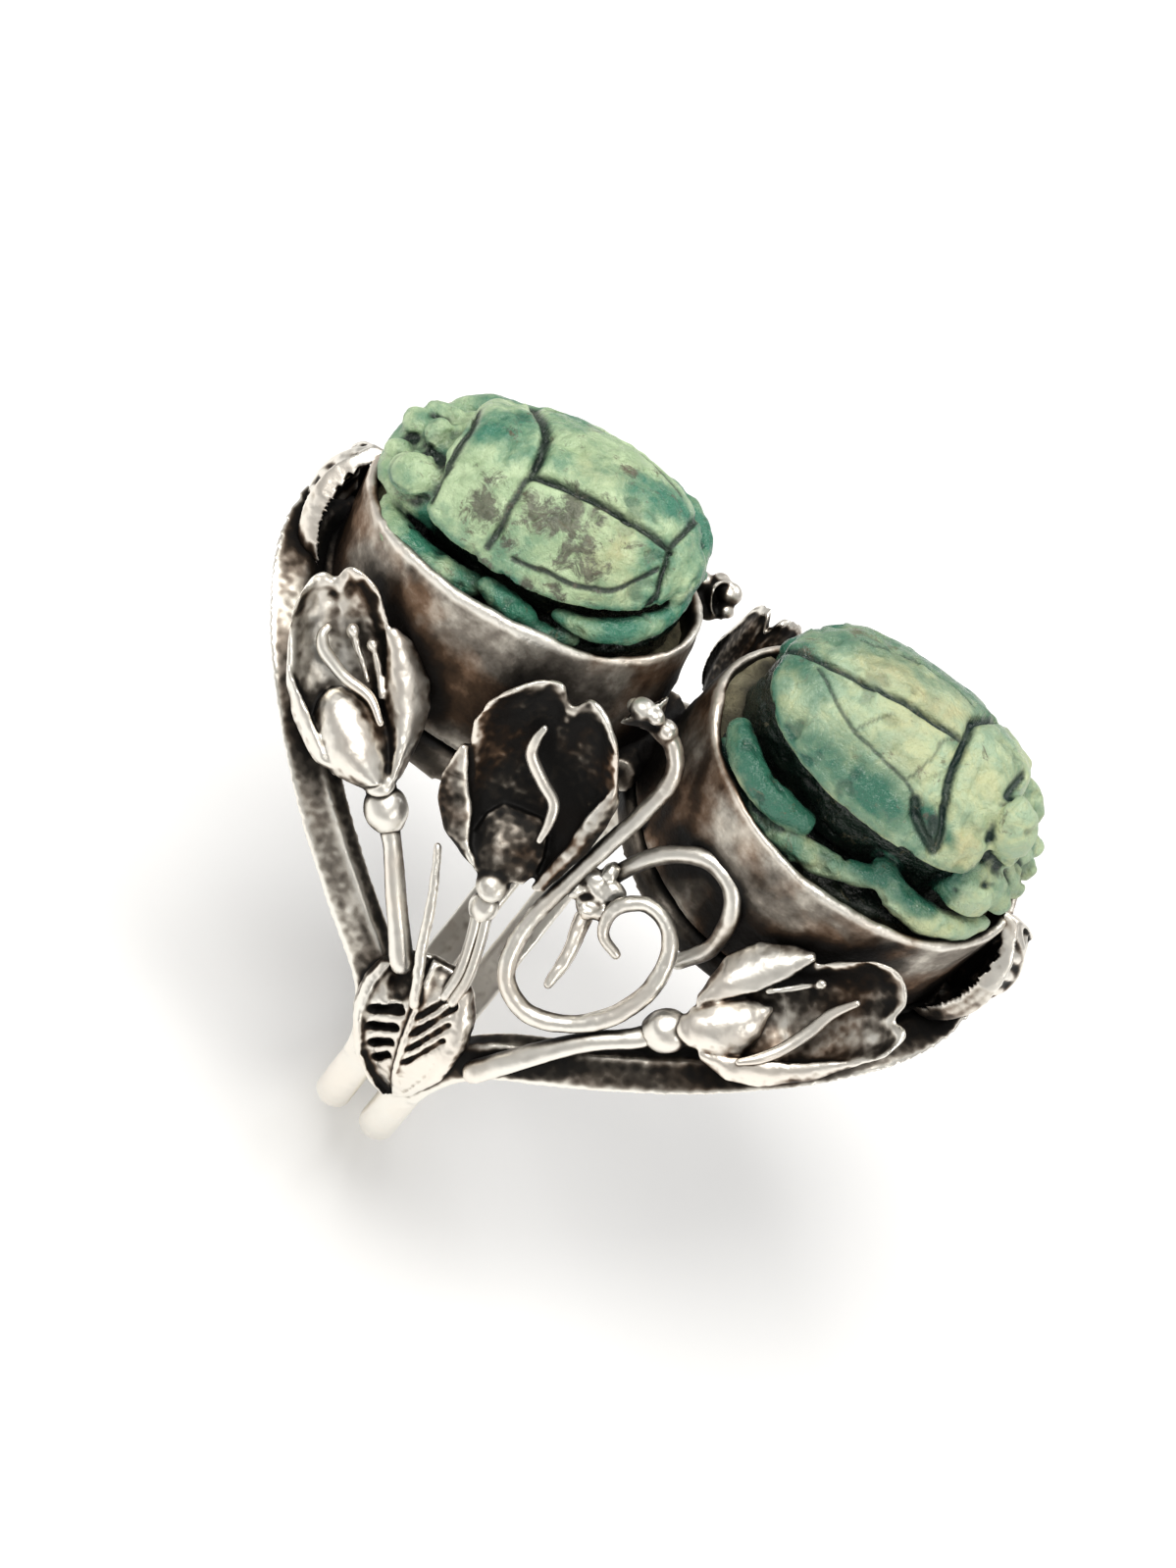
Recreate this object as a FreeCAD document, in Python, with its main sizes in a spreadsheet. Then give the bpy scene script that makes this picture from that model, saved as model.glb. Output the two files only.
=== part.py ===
"""Double scarab ring: two oval bezels end to end along the finger, openwork shoulders and a two-wire shank.

X runs along the finger, Z points up between the bezels and the origin is the centre of the finger hole.
The near shoulder is the one on the -Y side. Lengths are in millimetres and angles in degrees.
"""
import FreeCAD, Part
import math
import os
from FreeCAD import Placement, Rotation, Vector

# Sizes that can be set one by one
SIZES = [
    ("finger_radius", 8.75),
    ("band_thickness", 0.85),
    ("band_width", 1.35),
    ("shank_spread", 0.97),
    ("shoulder_reach", 14.2),
    ("fan_angle", 32),
    ("knee_radius", 5),
    ("left_half_length", 6.36),
    ("left_half_width", 4.85),
    ("left_centre", 7.1),
    ("left_rim_height", 5.35),
    ("left_lean", 9),
    ("right_half_length", 6.5),
    ("right_half_width", 5.05),
    ("right_centre", 7.12),
    ("right_rim_height", 6.1),
    ("right_offset", 0.4),
    ("right_lean", 4),
    ("right_roll", 9),
    ("wall_thickness", 0.5),
    ("base_lip", 0.3),
    ("bedding_drop", 1.1),
    ("setting_gap", 0.12),
    ("left_scarab_drop", 1.6),
    ("right_scarab_drop", 1.25),
    ("left_scarab_roll", 22),
    ("right_scarab_roll", 7),
    ("scarab_axis_height", 2.1),
    ("left_scarab_plinth", 2.0),
    ("right_scarab_plinth", 1.1),
    ("scarab_body_margin", 0.13),
    ("left_wing_edge", 2.0),
    ("right_wing_edge", 2.25),
    ("wing_overhang", 0.5),
    ("groove_width", 0.16),
    ("groove_depth", 0.22),
    ("leg_radius", 0.46),
    ("ornament_lift", 1.0),
    ("flower_length", 8.0),
    ("flower_half_width", 2.45),
    ("middle_flower_half_width", 2.8),
    ("bridge_flower_half_width", 1.6),
    ("flower_sheet", 0.45),
    ("flower_bowl", 9.0),
    ("pistil_radius", 0.2),
    ("bead_radius", 0.78),
    ("small_bead_radius", 0.52),
    ("stem_radius", 0.36),
    ("scroll_radius", 0.34),
    ("trumpet_radius", 0.85),
    ("trumpet_length", 1.3),
    ("loop_radius", 0.32),
    ("granule_radius", 0.45),
    ("tendril_length", 2.6),
    ("tendril_radius", 0.3),
    ("leaf_length", 5.9),
    ("leaf_half_width", 2.1),
    ("leaf_rise", 1.25),
    ("leaf_slot_width", 0.22),
    ("leaf_slot_depth", 0.35),
    ("end_leaf_height", 5.6),
    ("end_leaf_half_width", 2.3),
    ("end_leaf_sheet", 0.55),
    ("end_leaf_bulge", 1.7),
    ("joint_bar_radius", 0.65),
    ("overrun", 1.0),
]

doc = FreeCAD.newDocument("ScarabRing")
sheet = doc.addObject("Spreadsheet::Sheet", "Sizes")
for row, (alias, value) in enumerate(SIZES, start=1):
    sheet.set("A%d" % row, alias)
    sheet.set("B%d" % row, str(value))
    sheet.setAlias("B%d" % row, alias)
doc.recompute()


def size(alias):
    """The sheet's value of one size."""
    return float(getattr(sheet, alias))


seat_radius = size("finger_radius") + size("band_thickness")
overrun = size("overrun")
ALONG_FINGER = Vector(1, 0, 0)
ACROSS = Vector(0, 1, 0)
UP = Vector(0, 0, 1)
CENTRE = Vector(0, 0, 0)

# Bodies of the ring that later pieces are fitted against, by name
finished = {}


# Helpers for placing, joining and fitting

def link(item, **expressions):
    """Bind properties of an object to the sheet."""
    for name, expression in expressions.items():
        item.setExpression(name, expression)
    return item


def turned(vector_axis, angle):
    """A placement that only turns."""
    return Placement(CENTRE, Rotation(vector_axis, angle))


def solids_only(shape):
    """The real solids of a boolean's result, without slivers."""
    whole = max(solid.Volume for solid in shape.Solids)
    sliver_share = 0.02
    kept = [solid for solid in shape.Solids if solid.Volume > sliver_share * whole]
    return kept[0] if len(kept) == 1 else Part.makeCompound(kept)


def fitted(shape, *neighbours):
    """Take the neighbours' material out of a shape, so that they meet face to face."""
    for neighbour in neighbours:
        if shape.BoundBox.intersect(neighbour.BoundBox):
            shape = shape.cut(neighbour)
    return solids_only(shape)


def add_piece(name, shape, place=Placement()):
    """Add a finished solid as a node of the ring; its own axes are those of the place."""
    item = doc.addObject("Part::Feature", name)
    item.Label = name
    local = shape.copy()
    local.transformShape(place.inverse().toMatrix(), True)
    item.Shape = local
    item.Placement = place
    finished[name] = item
    return item


def spot(along_share, angle, lift_share):
    """A place on the near shoulder: share of the reach, angle from the top, share of the ornaments' lift."""
    radius = seat_radius + lift_share * size("ornament_lift")
    turn = math.radians(angle)
    return Vector(along_share * size("shoulder_reach"), -radius * math.sin(turn), radius * math.cos(turn))


def bent_path(points):
    """Straight runs joined by tangent arcs through a list of points."""
    reach_share = 0.45
    edges = []
    start = points[0]
    for before, corner, after in zip(points, points[1:], points[2:]):
        back = before - corner
        ahead = after - corner
        reach = reach_share * min(back.Length, ahead.Length)
        back.normalize()
        ahead.normalize()
        half_turn = (math.pi - back.getAngle(ahead)) / 2
        radius = reach / math.tan(half_turn)
        middle = (back + ahead).normalize() * (radius / math.cos(half_turn) - radius)
        entry = corner + back * reach
        leave = corner + ahead * reach
        edges.append(Part.LineSegment(start, entry).toShape())
        edges.append(Part.Arc(entry, corner + middle, leave).toShape())
        start = leave
    edges.append(Part.LineSegment(start, points[-1]).toShape())
    return Part.Wire(edges)


def wire_along(points, radius):
    """A round wire along a bent path."""
    path = bent_path(points)
    profile = Part.Wire([Part.Circle(points[0], points[1] - points[0], radius).toShape()])
    return path.makePipeShell([profile], True, False)


def ball(centre, radius):
    """A sphere about a point."""
    return Part.makeSphere(radius, centre)


def outline_face(lobes):
    """A flat face bounded by smooth lobes, each through its own points and starting where the last one ends."""
    edges = []
    for points in lobes:
        curve = Part.BSplineCurve()
        curve.interpolate(points)
        edges.append(curve.toShape())
    return Part.Face(Part.Wire(edges))


def mirrored_lobes(half_lobes):
    """One half's lobes, which run from the base to the tip, and the same ones back down the other side."""
    other = [[Vector(p.x, -p.y, p.z) for p in reversed(lobe)] for lobe in reversed(half_lobes)]
    return half_lobes + other


def axes_from(origin, along, outward):
    """A placement whose X runs along one direction and whose Z is as near as can be to another."""
    across = outward.cross(along)
    return Placement(origin, Rotation(along, across, outward, "XZY"))


def seat_cylinder():
    """The round surface of the bands and base plates that the ornaments sit on, as a solid past both ends."""
    reach = size("shoulder_reach") + size("end_leaf_height")
    return Part.makeCylinder(seat_radius, 2 * reach, Vector(-reach, 0, 0), ALONG_FINGER)


# Bands: each is an inclined loop over the shoulders that runs into one bar of the shank

def tangent_point(centre, radius, target):
    """Where a line from the target touches a circle in the XZ plane, on the circle's upper side."""
    reach = target - centre
    turn = math.acos(radius / reach.Length)
    return centre + Rotation(ACROSS, -math.degrees(turn)).multVec(reach.normalize()) * radius


def band_strip():
    """The slab that cuts the inclined part of a band out of the finger tube, seen along Y.

    It narrows towards the top, where the tube's wall lies flat, so that the band keeps its width.
    """
    half = size("band_width") / 2
    fan = math.radians(size("fan_angle"))
    knee_x = size("shank_spread")
    knee_z = seat_radius - (size("shoulder_reach") - knee_x) * math.tan(fan)
    tangent = size("knee_radius") * math.tan((math.pi / 2 - fan) / 2)
    centre = Vector(knee_x + size("knee_radius"), 0, knee_z - tangent)
    edges = []
    ends = []
    for offset in (half, -half):
        radius = size("knee_radius") + offset
        low = centre - ALONG_FINGER * radius
        top = Vector(size("shoulder_reach") - offset, 0, seat_radius)
        high = tangent_point(centre, radius, top)
        middle = ((high - centre).normalize() - ALONG_FINGER).normalize()
        beyond = top + (top - high).normalize() * overrun
        edges.append(Part.Arc(low, centre + middle * radius, high).toShape())
        edges.append(Part.LineSegment(high, beyond).toShape())
        ends.append((low, beyond))
    edges.append(Part.LineSegment(ends[0][0], ends[1][0]).toShape())
    edges.append(Part.LineSegment(ends[0][1], ends[1][1]).toShape())
    depth = 2 * (seat_radius + overrun)
    face = Part.Face(Part.Wire(Part.__sortEdges__(edges)))
    face.translate(Vector(0, -depth / 2, 0))
    return face.extrude(Vector(0, depth, 0)), centre.z


def shank_bar(knee_z):
    """A bar with a flat inside and a round outside, turned about the finger and kept below the knee."""
    half = size("band_width") / 2
    inner = size("finger_radius")
    side = inner + size("band_thickness") / 2
    left = size("shank_spread") - half
    right = size("shank_spread") + half
    corners = [Vector(left, 0, inner), Vector(left, 0, side), Vector(right, 0, side), Vector(right, 0, inner)]
    edges = [
        Part.LineSegment(corners[0], corners[1]).toShape(),
        Part.Arc(corners[1], Vector(size("shank_spread"), 0, seat_radius), corners[2]).toShape(),
        Part.LineSegment(corners[2], corners[3]).toShape(),
        Part.LineSegment(corners[3], corners[0]).toShape(),
    ]
    ring = Part.Face(Part.Wire(edges)).revolve(CENTRE, ALONG_FINGER, 360)
    span = 2 * (seat_radius + overrun)
    below = Part.makeBox(span, span, span, Vector(-span / 2, -span / 2, knee_z - span))
    return ring.common(below)


def make_bands():
    """Both bands; the left one is the right one turned half round about Z."""
    outer = link(
        doc.addObject("Part::Cylinder", "TubeOuter"),
        Radius="Sizes.finger_radius + Sizes.band_thickness",
        Height="Sizes.shoulder_reach + 2 * Sizes.band_width",
    )
    inner = link(
        doc.addObject("Part::Cylinder", "TubeInner"),
        Radius="Sizes.finger_radius",
        Height="Sizes.shoulder_reach + 2 * Sizes.band_width",
    )
    for item in (outer, inner):
        item.Placement = turned(ACROSS, 90)
    tube = doc.addObject("Part::Cut", "FingerTube")
    tube.Base = outer
    tube.Tool = inner
    prism, knee_z = band_strip()
    strip = doc.addObject("Part::Feature", "BandStrip")
    strip.Shape = prism
    shoulders = doc.addObject("Part::Common", "ShoulderLoop")
    shoulders.Base = tube
    shoulders.Tool = strip
    shank = doc.addObject("Part::Feature", "ShankBar")
    shank.Shape = shank_bar(knee_z)
    doc.recompute()
    for name, angle in (("right_band", 0), ("left_band", 180)):
        band = shoulders.Shape.fuse(shank.Shape)
        turn = turned(UP, angle)
        band.transformShape(turn.toMatrix(), True)
        add_piece(name, band, turn)


# Bezels: a curved base plate, an oval wall, the bedding and the scarab

def bezel_place(side):
    """The bezel's frame: origin at the middle of the rim, X towards the outer end, Z out of the bezel."""
    if side == "left":
        centre = Vector(-size("left_centre"), 0, seat_radius - size("band_thickness") + size("left_rim_height"))
        turn = Rotation(ACROSS, -size("left_lean")).multiply(Rotation(UP, 180))
    else:
        height = seat_radius - size("band_thickness") + size("right_rim_height")
        centre = Vector(size("right_centre"), -size("right_offset"), height)
        turn = Rotation(ALONG_FINGER, size("right_roll")).multiply(Rotation(ACROSS, size("right_lean")))
    return Placement(centre, turn)


def oval(name, side, margin, top, place):
    """An oval prism that runs down from the bezel's rim, smaller all round by the margin expression."""
    ring = link(
        doc.addObject("Part::Ellipse", name + "Outline"),
        MajorRadius="Sizes.%s_half_length - (%s)" % (side, margin),
        MinorRadius="Sizes.%s_half_width - (%s)" % (side, margin),
    )
    ring.Placement = place.multiply(Placement(Vector(0, 0, top), Rotation()))
    prism = doc.addObject("Part::Extrusion", name)
    prism.Base = ring
    prism.DirMode = "Normal"
    prism.Solid = True
    prism.Reversed = True
    link(prism, LengthFwd="Sizes.finger_radius")
    return prism


def boolean(kind, name, base, tool):
    """A boolean of two objects of the document."""
    item = doc.addObject("Part::" + kind, name)
    item.Base = base
    item.Tool = tool
    return item


def scarab_profile(half_length, radius, axis_height):
    """Half of the wing cases and thorax in outline, for turning about the beetle's axis."""
    wing_shares = [(-0.97, 0), (-0.94, 0.34), (-0.84, 0.64), (-0.62, 0.86), (-0.3, 0.98), (0, 1.0), (0.15, 0.98)]
    thorax_shares = [(0.17, 0.95), (0.35, 0.93), (0.5, 0.88), (0.62, 0.79)]
    neck_share = 0.68

    def points(shares):
        return [Vector(x * half_length, 0, axis_height + r * radius) for x, r in shares]

    wings = points(wing_shares)
    thorax = points(thorax_shares)
    neck = Vector(neck_share * half_length, 0, axis_height)
    edges = []
    for lobe in (wings, thorax):
        curve = Part.BSplineCurve()
        curve.interpolate(lobe)
        edges.append(curve.toShape())
    edges.append(Part.LineSegment(wings[-1], thorax[0]).toShape())
    edges.append(Part.LineSegment(thorax[-1], neck).toShape())
    edges.append(Part.LineSegment(neck, wings[0]).toShape())
    return Part.Face(Part.Wire(Part.__sortEdges__(edges)))


def scarab_head(half_length, radius, axis_height):
    """The head as a block with a rounded plan and a sloping top."""
    station_shares = [0.57, 0.67, 0.79, 0.895, 0.97, 1.03]
    width_shares = [0.57, 0.565, 0.51, 0.445, 0.38, 0.29]
    top_shares = [0.6, 0.555, 0.455, 0.35, 0.27, 0.19]
    bottom_share = -0.16
    back_share = 0.4
    bottom = axis_height + bottom_share * radius
    half = [Vector(x * half_length, y * radius, bottom) for x, y in zip(station_shares, width_shares)]
    other = [Vector(p.x, -p.y, p.z) for p in reversed(half)]
    back_x = back_share * half_length
    back = [Vector(back_x, -half[0].y, bottom), Vector(back_x, half[0].y, bottom)]
    plan = Part.Face(Part.makePolygon(half + other + back + half[:1])).extrude(Vector(0, 0, radius))
    top = [Vector(x * half_length, -radius, axis_height + z * radius) for x, z in zip(station_shares, top_shares)]
    ends = [Vector(top[-1].x, -radius, bottom), Vector(back_x, -radius, bottom), Vector(back_x, -radius, top[0].z)]
    side = Part.Face(Part.makePolygon(top + ends + top[:1])).extrude(Vector(0, 2 * radius, 0))
    return plan.common(side)


def scarab_limbs(side):
    """Legs of one side of a beetle: the radius as a share of a leg's, and its route in shares of the dome."""
    if side == "left":
        front = [(0.91, 0.46, 0.09), (0.8, 0.7, 0.11), (0.59, 0.83, 0.13), (0.38, 0.87, 0.13), (0.19, 0.85, 0.15)]
        knee = [(0.1, 0.84, 0.24), (-0.03, 0.87, 0.21), (-0.19, 0.89, 0.15)]
        foot = [(-0.12, 0.91, 0.07), (-0.3, 0.89, 0.07), (-0.47, 0.82, 0.1)]
        hind = [(-0.35, 0.78, 0.24), (-0.54, 0.75, 0.26), (-0.72, 0.62, 0.27), (-0.85, 0.4, 0.28), (-0.9, 0.15, 0.29)]
        limb_shares = [(1.0, front), (0.95, knee), (0.85, foot), (0.95, hind)]
    else:
        hind = [(-0.87, 0.35, 0.04), (-0.76, 0.56, 0.05), (-0.59, 0.71, 0.05), (-0.41, 0.78, 0.05), (-0.24, 0.78, 0.06)]
        low = [(-0.8, 0.47, -0.2), (-0.68, 0.65, -0.2), (-0.47, 0.81, -0.2), (-0.22, 0.9, -0.16), (0.03, 0.88, -0.1)]
        knee = [(0.25, 0.77, -0.02)]
        front = [(0.25, 0.67, 0.02), (0.41, 0.76, -0.04), (0.6, 0.73, -0.08), (0.78, 0.6, -0.1), (0.9, 0.42, -0.12)]
        limb_shares = [(1.15, hind), (0.85, low + knee), (1.0, front)]
    return limb_shares


def scarab_knobs(side):
    """Rounded lumps of a beetle's head: places and radius as shares of the dome."""
    if side == "left":
        eyes = [(0.775, 0.45, 0.36, 0.2), (0.775, -0.45, 0.36, 0.2)]
        knob_shares = eyes + [(0.95, -0.18, 0.31, 0.13), (0.98, 0.13, 0.26, 0.11)]
    else:
        teeth = [(0.955, y, 0.12, 0.09) for y in (-0.31, -0.105, 0.105, 0.31)]
        knob_shares = teeth + [(0.74, -0.03, 0.48, 0.17), (0.68, 0.54, 0.27, 0.16), (0.68, -0.54, 0.27, 0.16)]
    return knob_shares


def scarab_shape(side):
    """A carved scarab: oval plinth, overhanging wing cases with their seam, narrower core, head and legs."""
    inset = size("wall_thickness") + size("setting_gap")
    half_length = size(side + "_half_length") - inset
    half_width = size(side + "_half_width") - inset
    radius = half_width - size("scarab_body_margin")
    seat_z = -size(side + "_scarab_drop")
    axis_z = seat_z + size("scarab_axis_height")
    axis = Vector(0, 0, axis_z)
    plinth_top = seat_z + size(side + "_scarab_plinth")

    base_outline = Part.Ellipse(Vector(0, 0, seat_z), half_length, half_width)
    base = Part.Face(Part.Wire([base_outline.toShape()])).extrude(Vector(0, 0, plinth_top - seat_z))

    edge_z = axis_z + size(side + "_wing_edge")
    above = Part.makeBox(3 * half_length, 3 * half_width, 2 * half_width)
    above.translate(Vector(-1.5 * half_length, -1.5 * half_width, edge_z))
    shell = scarab_profile(half_length, radius, axis_z).revolve(axis, ALONG_FINGER, 360).common(above)
    floor = scarab_profile(half_length, radius - size("groove_depth"), axis_z)
    floor = floor.revolve(axis, ALONG_FINGER, 360).common(above)
    seam_start_share = 0.25
    seam_length = (1 + seam_start_share) * half_length
    seam = Part.makeBox(seam_length, size("groove_width"), 2 * half_width)
    seam.translate(Vector(-half_length, -size("groove_width") / 2, edge_z + size("groove_depth")))
    shell = shell.cut(seam).fuse(floor)

    core_half_width = math.sqrt(radius**2 - size(side + "_wing_edge") ** 2) - size("wing_overhang")
    core = []
    for angle in (90, -90):
        half = scarab_profile(half_length - size("wing_overhang"), core_half_width, 0)
        half.rotate(CENTRE, ALONG_FINGER, angle)
        half.translate(Vector(0, 0, seat_z))
        core.append(half.extrude(Vector(0, 0, edge_z + size("groove_depth") - seat_z)))

    pieces = [shell, core[0].fuse(core[1]), scarab_head(half_length, radius, axis_z)]
    for x, y, z, r in scarab_knobs(side):
        pieces.append(ball(Vector(x * half_length, y * radius, axis_z + z * radius), r * radius))
    for sign in (1, -1):
        for share, places in scarab_limbs(side):
            route = [Vector(x * half_length, sign * y * radius, axis_z + z * radius) for x, y, z in places]
            thickness = share * size("leg_radius")
            pieces.append(wire_along(route, thickness))
            pieces.append(ball(route[0], thickness))
            pieces.append(ball(route[-1], thickness))
    return base.multiFuse(pieces).removeSplitter()


def stone_turn(side):
    """How a scarab lies in its bezel: turned about its own length, down towards the near side."""
    near = -1 if side == "left" else 1
    return turned(ALONG_FINGER, near * size(side + "_scarab_roll"))


def make_bezels():
    """Base plates, walls, bedding and scarabs of both bezels."""
    reach = size("shoulder_reach")
    cylinders = {}
    for name, radius in (("Saddle", "Sizes.finger_radius + Sizes.band_thickness"), ("Finger", "Sizes.finger_radius")):
        cylinders[name] = link(
            doc.addObject("Part::Cylinder", name), Radius=radius, Height="2 * Sizes.shoulder_reach"
        )
        cylinders[name].Placement = Placement(Vector(-reach, 0, 0), Rotation(ACROSS, 90))
    plate = boolean("Cut", "SaddleSheet", cylinders["Saddle"], cylinders["Finger"])
    for side in ("left", "right"):
        place = bezel_place(side)
        outer = oval(side + "WallOuter", side, "0", 0, place)
        inner = oval(side + "WallInner", side, "Sizes.wall_thickness", overrun, place)
        lip = oval(side + "BaseOval", side, "-Sizes.base_lip", 0, place)
        fill = oval(side + "BeddingOval", side, "Sizes.wall_thickness", -size("bedding_drop"), place)
        link(inner, LengthFwd="Sizes.finger_radius + Sizes.overrun")
        tube = boolean("Cut", side + "Tube", outer, inner)
        wall = boolean("Cut", side + "Wall", tube, cylinders["Saddle"])
        bed = boolean("Cut", side + "Bed", fill, cylinders["Saddle"])
        base = boolean("Common", side + "Base", plate, lip)
        doc.recompute()
        others = [finished["left_band"].Shape, finished["right_band"].Shape]
        if side == "right":
            others.append(finished["left_bezel_base"].Shape)
        scarab = scarab_shape(side)
        scarab.transformShape(place.multiply(stone_turn(side)).toMatrix(), True)
        add_piece(side + "_bezel_base", fitted(base.Shape, *others), place)
        add_piece(side + "_bezel_wall", solids_only(wall.Shape), place)
        add_piece(side + "_scarab", fitted(scarab, finished[side + "_bezel_wall"].Shape), place)
        add_piece(side + "_bedding", fitted(bed.Shape, finished[side + "_scarab"].Shape), place)
    bar_length = size("left_half_width")
    bar = Part.makeCylinder(size("joint_bar_radius"), bar_length, Vector(0, -bar_length / 2, 0), ACROSS)
    bar.translate(Vector(0, 0, seat_radius + size("joint_bar_radius")))
    walls = [finished[side + "_bezel_wall"].Shape for side in ("left", "right")]
    add_piece("bezel_joint", fitted(bar, *walls))


# Ornaments of a shoulder

def on_dish(length, x, y):
    """A place on the inside of a flower's dished sheet."""
    bowl = size("flower_bowl")
    inner = bowl - size("flower_sheet")
    from_middle = x - length / 2
    return Vector(x, y, bowl - math.sqrt(inner**2 - from_middle**2 - y**2))


def flower_shape(length, half_width):
    """A stamped tulip, seen open: a dished sheet with two convex side petals and a front one on it.

    X runs from the bead to the tips.
    """
    petal_shares = [(0.03, 0), (0.05, 0.2), (0.1, 0.48), (0.22, 0.86), (0.4, 1.0), (0.58, 0.9), (0.73, 0.58)]
    tip_shares = [(0.73, 0.58), (0.8, 0.48), (0.92, 0.42), (1.0, 0.22), (0.95, 0)]
    half = [
        [Vector(x * length, y * half_width, 0) for x, y in petal_shares],
        [Vector(x * length, y * half_width, 0) for x, y in tip_shares],
    ]
    face = outline_face(mirrored_lobes(half))
    bowl = size("flower_bowl")
    prism = face.extrude(Vector(0, 0, bowl))
    inside = ball(Vector(length / 2, 0, bowl), bowl)
    sheet_of_flower = prism.common(inside.cut(ball(Vector(length / 2, 0, bowl), bowl - size("flower_sheet"))))

    bulge_share = 0.24
    bulge = bulge_share * half_width
    side_petal_shares = [(0.15, 0.32), (0.28, 0.62), (0.47, 0.72), (0.64, 0.56)]
    front_petal_share = 0.29
    front = on_dish(length, front_petal_share * length, 0)
    forms = [ball(front - UP * bulge, 2 * bulge)]
    for sign in (1, -1):
        route = [on_dish(length, x * length, sign * y * half_width) for x, y in side_petal_shares]
        forms.append(wire_along(route, bulge))
        forms.append(ball(route[0], bulge))
        forms.append(ball(route[-1], bulge))
    return sheet_of_flower.multiFuse([form.common(inside) for form in forms])


def pistil_points(length, half_width):
    """An S-shaped wire that stands on the flower's dish, from its throat to its mouth."""
    course_shares = [(0.285, 0.1), (0.42, 0.16), (0.54, -0.04), (0.66, -0.2), (0.82, -0.12)]
    standing = UP * size("pistil_radius")
    return [on_dish(length, x * length, y * half_width) + standing for x, y in course_shares]


def leaf_blade(length, half_width, slots, slot_width):
    """A pointed leaf's outline and its slots, with the midrib along X and the tip at its far end."""
    edge_shares = [(0, 0), (0.02, 0.5), (0.2, 0.95), (0.42, 1.0), (0.68, 0.72), (0.9, 0.28), (1.0, 0)]
    half = [[Vector(x * length, y * half_width, 0) for x, y in edge_shares]]
    outline = outline_face(mirrored_lobes(half))
    cuts = []
    slant = 35
    first_share = 0.12
    last_share = 0.72
    for count in range(slots):
        at = (first_share + (last_share - first_share) * count / (slots - 1)) * length
        for sign in (1, -1):
            slot = Part.makeBox(slot_width, half_width, length)
            slot.translate(Vector(-slot_width / 2, 2 * slot_width, -length / 2))
            slot.rotate(CENTRE, UP, -slant)
            if sign < 0:
                slot = slot.mirror(CENTRE, ACROSS)
            slot.translate(Vector(at, 0, 0))
            cuts.append(slot)
    return outline, cuts


def shoulder_leaf(place):
    """The ribbed leaf over the place where the bands meet: a low dome seated on the bands."""
    length = size("leaf_length")
    half_width = size("leaf_half_width")
    slots = 5
    outline, cuts = leaf_blade(length, half_width, slots, size("leaf_slot_width"))
    rise = size("leaf_rise")
    prism = outline.extrude(Vector(0, 0, length))
    prism.translate(Vector(0, 0, -length / 2))
    dome = (length**2 / 4 + rise**2) / (2 * rise)
    middle = Vector(length / 2, 0, rise - dome)
    body = prism.common(ball(middle, dome))
    core = prism.common(ball(middle, dome - size("leaf_slot_depth")))
    leaf = body.cut(Part.makeCompound(cuts)).fuse(core)
    leaf.transformShape(place.toMatrix(), True)
    return leaf


def wires_of(side, middle_bead, scroll_top_shares):
    """Routes of the shoulder's wires, as along shares, angles and lift shares chosen from the photograph."""
    routes = {
        "left_stem": [(-0.39, 47, 0.61), (-0.32, 52, 0.5), (-0.23, 60, 0.46), (-0.13, 69, 0.5)],
        "middle_stem": [middle_bead, (-0.025, 56, 0.55), (0.005, 63, 0.5), (0.012, 69, 0.45)],
        "right_stem": [(0.47, 47, 0.61), (0.42, 52, 0.6), (0.33, 59, 0.52), (0.24, 69, 0.49), (0.17, 78, 0.5)],
    }
    scroll = scroll_top_shares + [
        (0.05, 46, 0.85),
        (0.062, 54, 0.72), (0.1, 59, 0.7), (0.18, 61, 0.7), (0.27, 58, 0.7), (0.34, 52, 0.8),
        (0.375, 44, 1.1), (0.36, 37, 1.5), (0.31, 33, 1.8), (0.24, 32.5, 1.8), (0.19, 36, 1.45),
        (0.205, 40.5, 1.1), (0.26, 42, 0.95),
    ]
    loop = [
        (0.13, 34, 0.4), (0.155, 28, 1.15), (0.21, 23.5, 2.1), (0.29, 21.5, 2.8), (0.37, 22.5, 2.8),
        (0.42, 25.5, 2.1), (0.43, 30, 1.0), (0.39, 35, 0.3),
    ]
    routes["scroll"] = scroll
    routes["loop"] = loop
    return {name: [side.multVec(spot(*place)) for place in route] for name, route in routes.items()}


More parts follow.
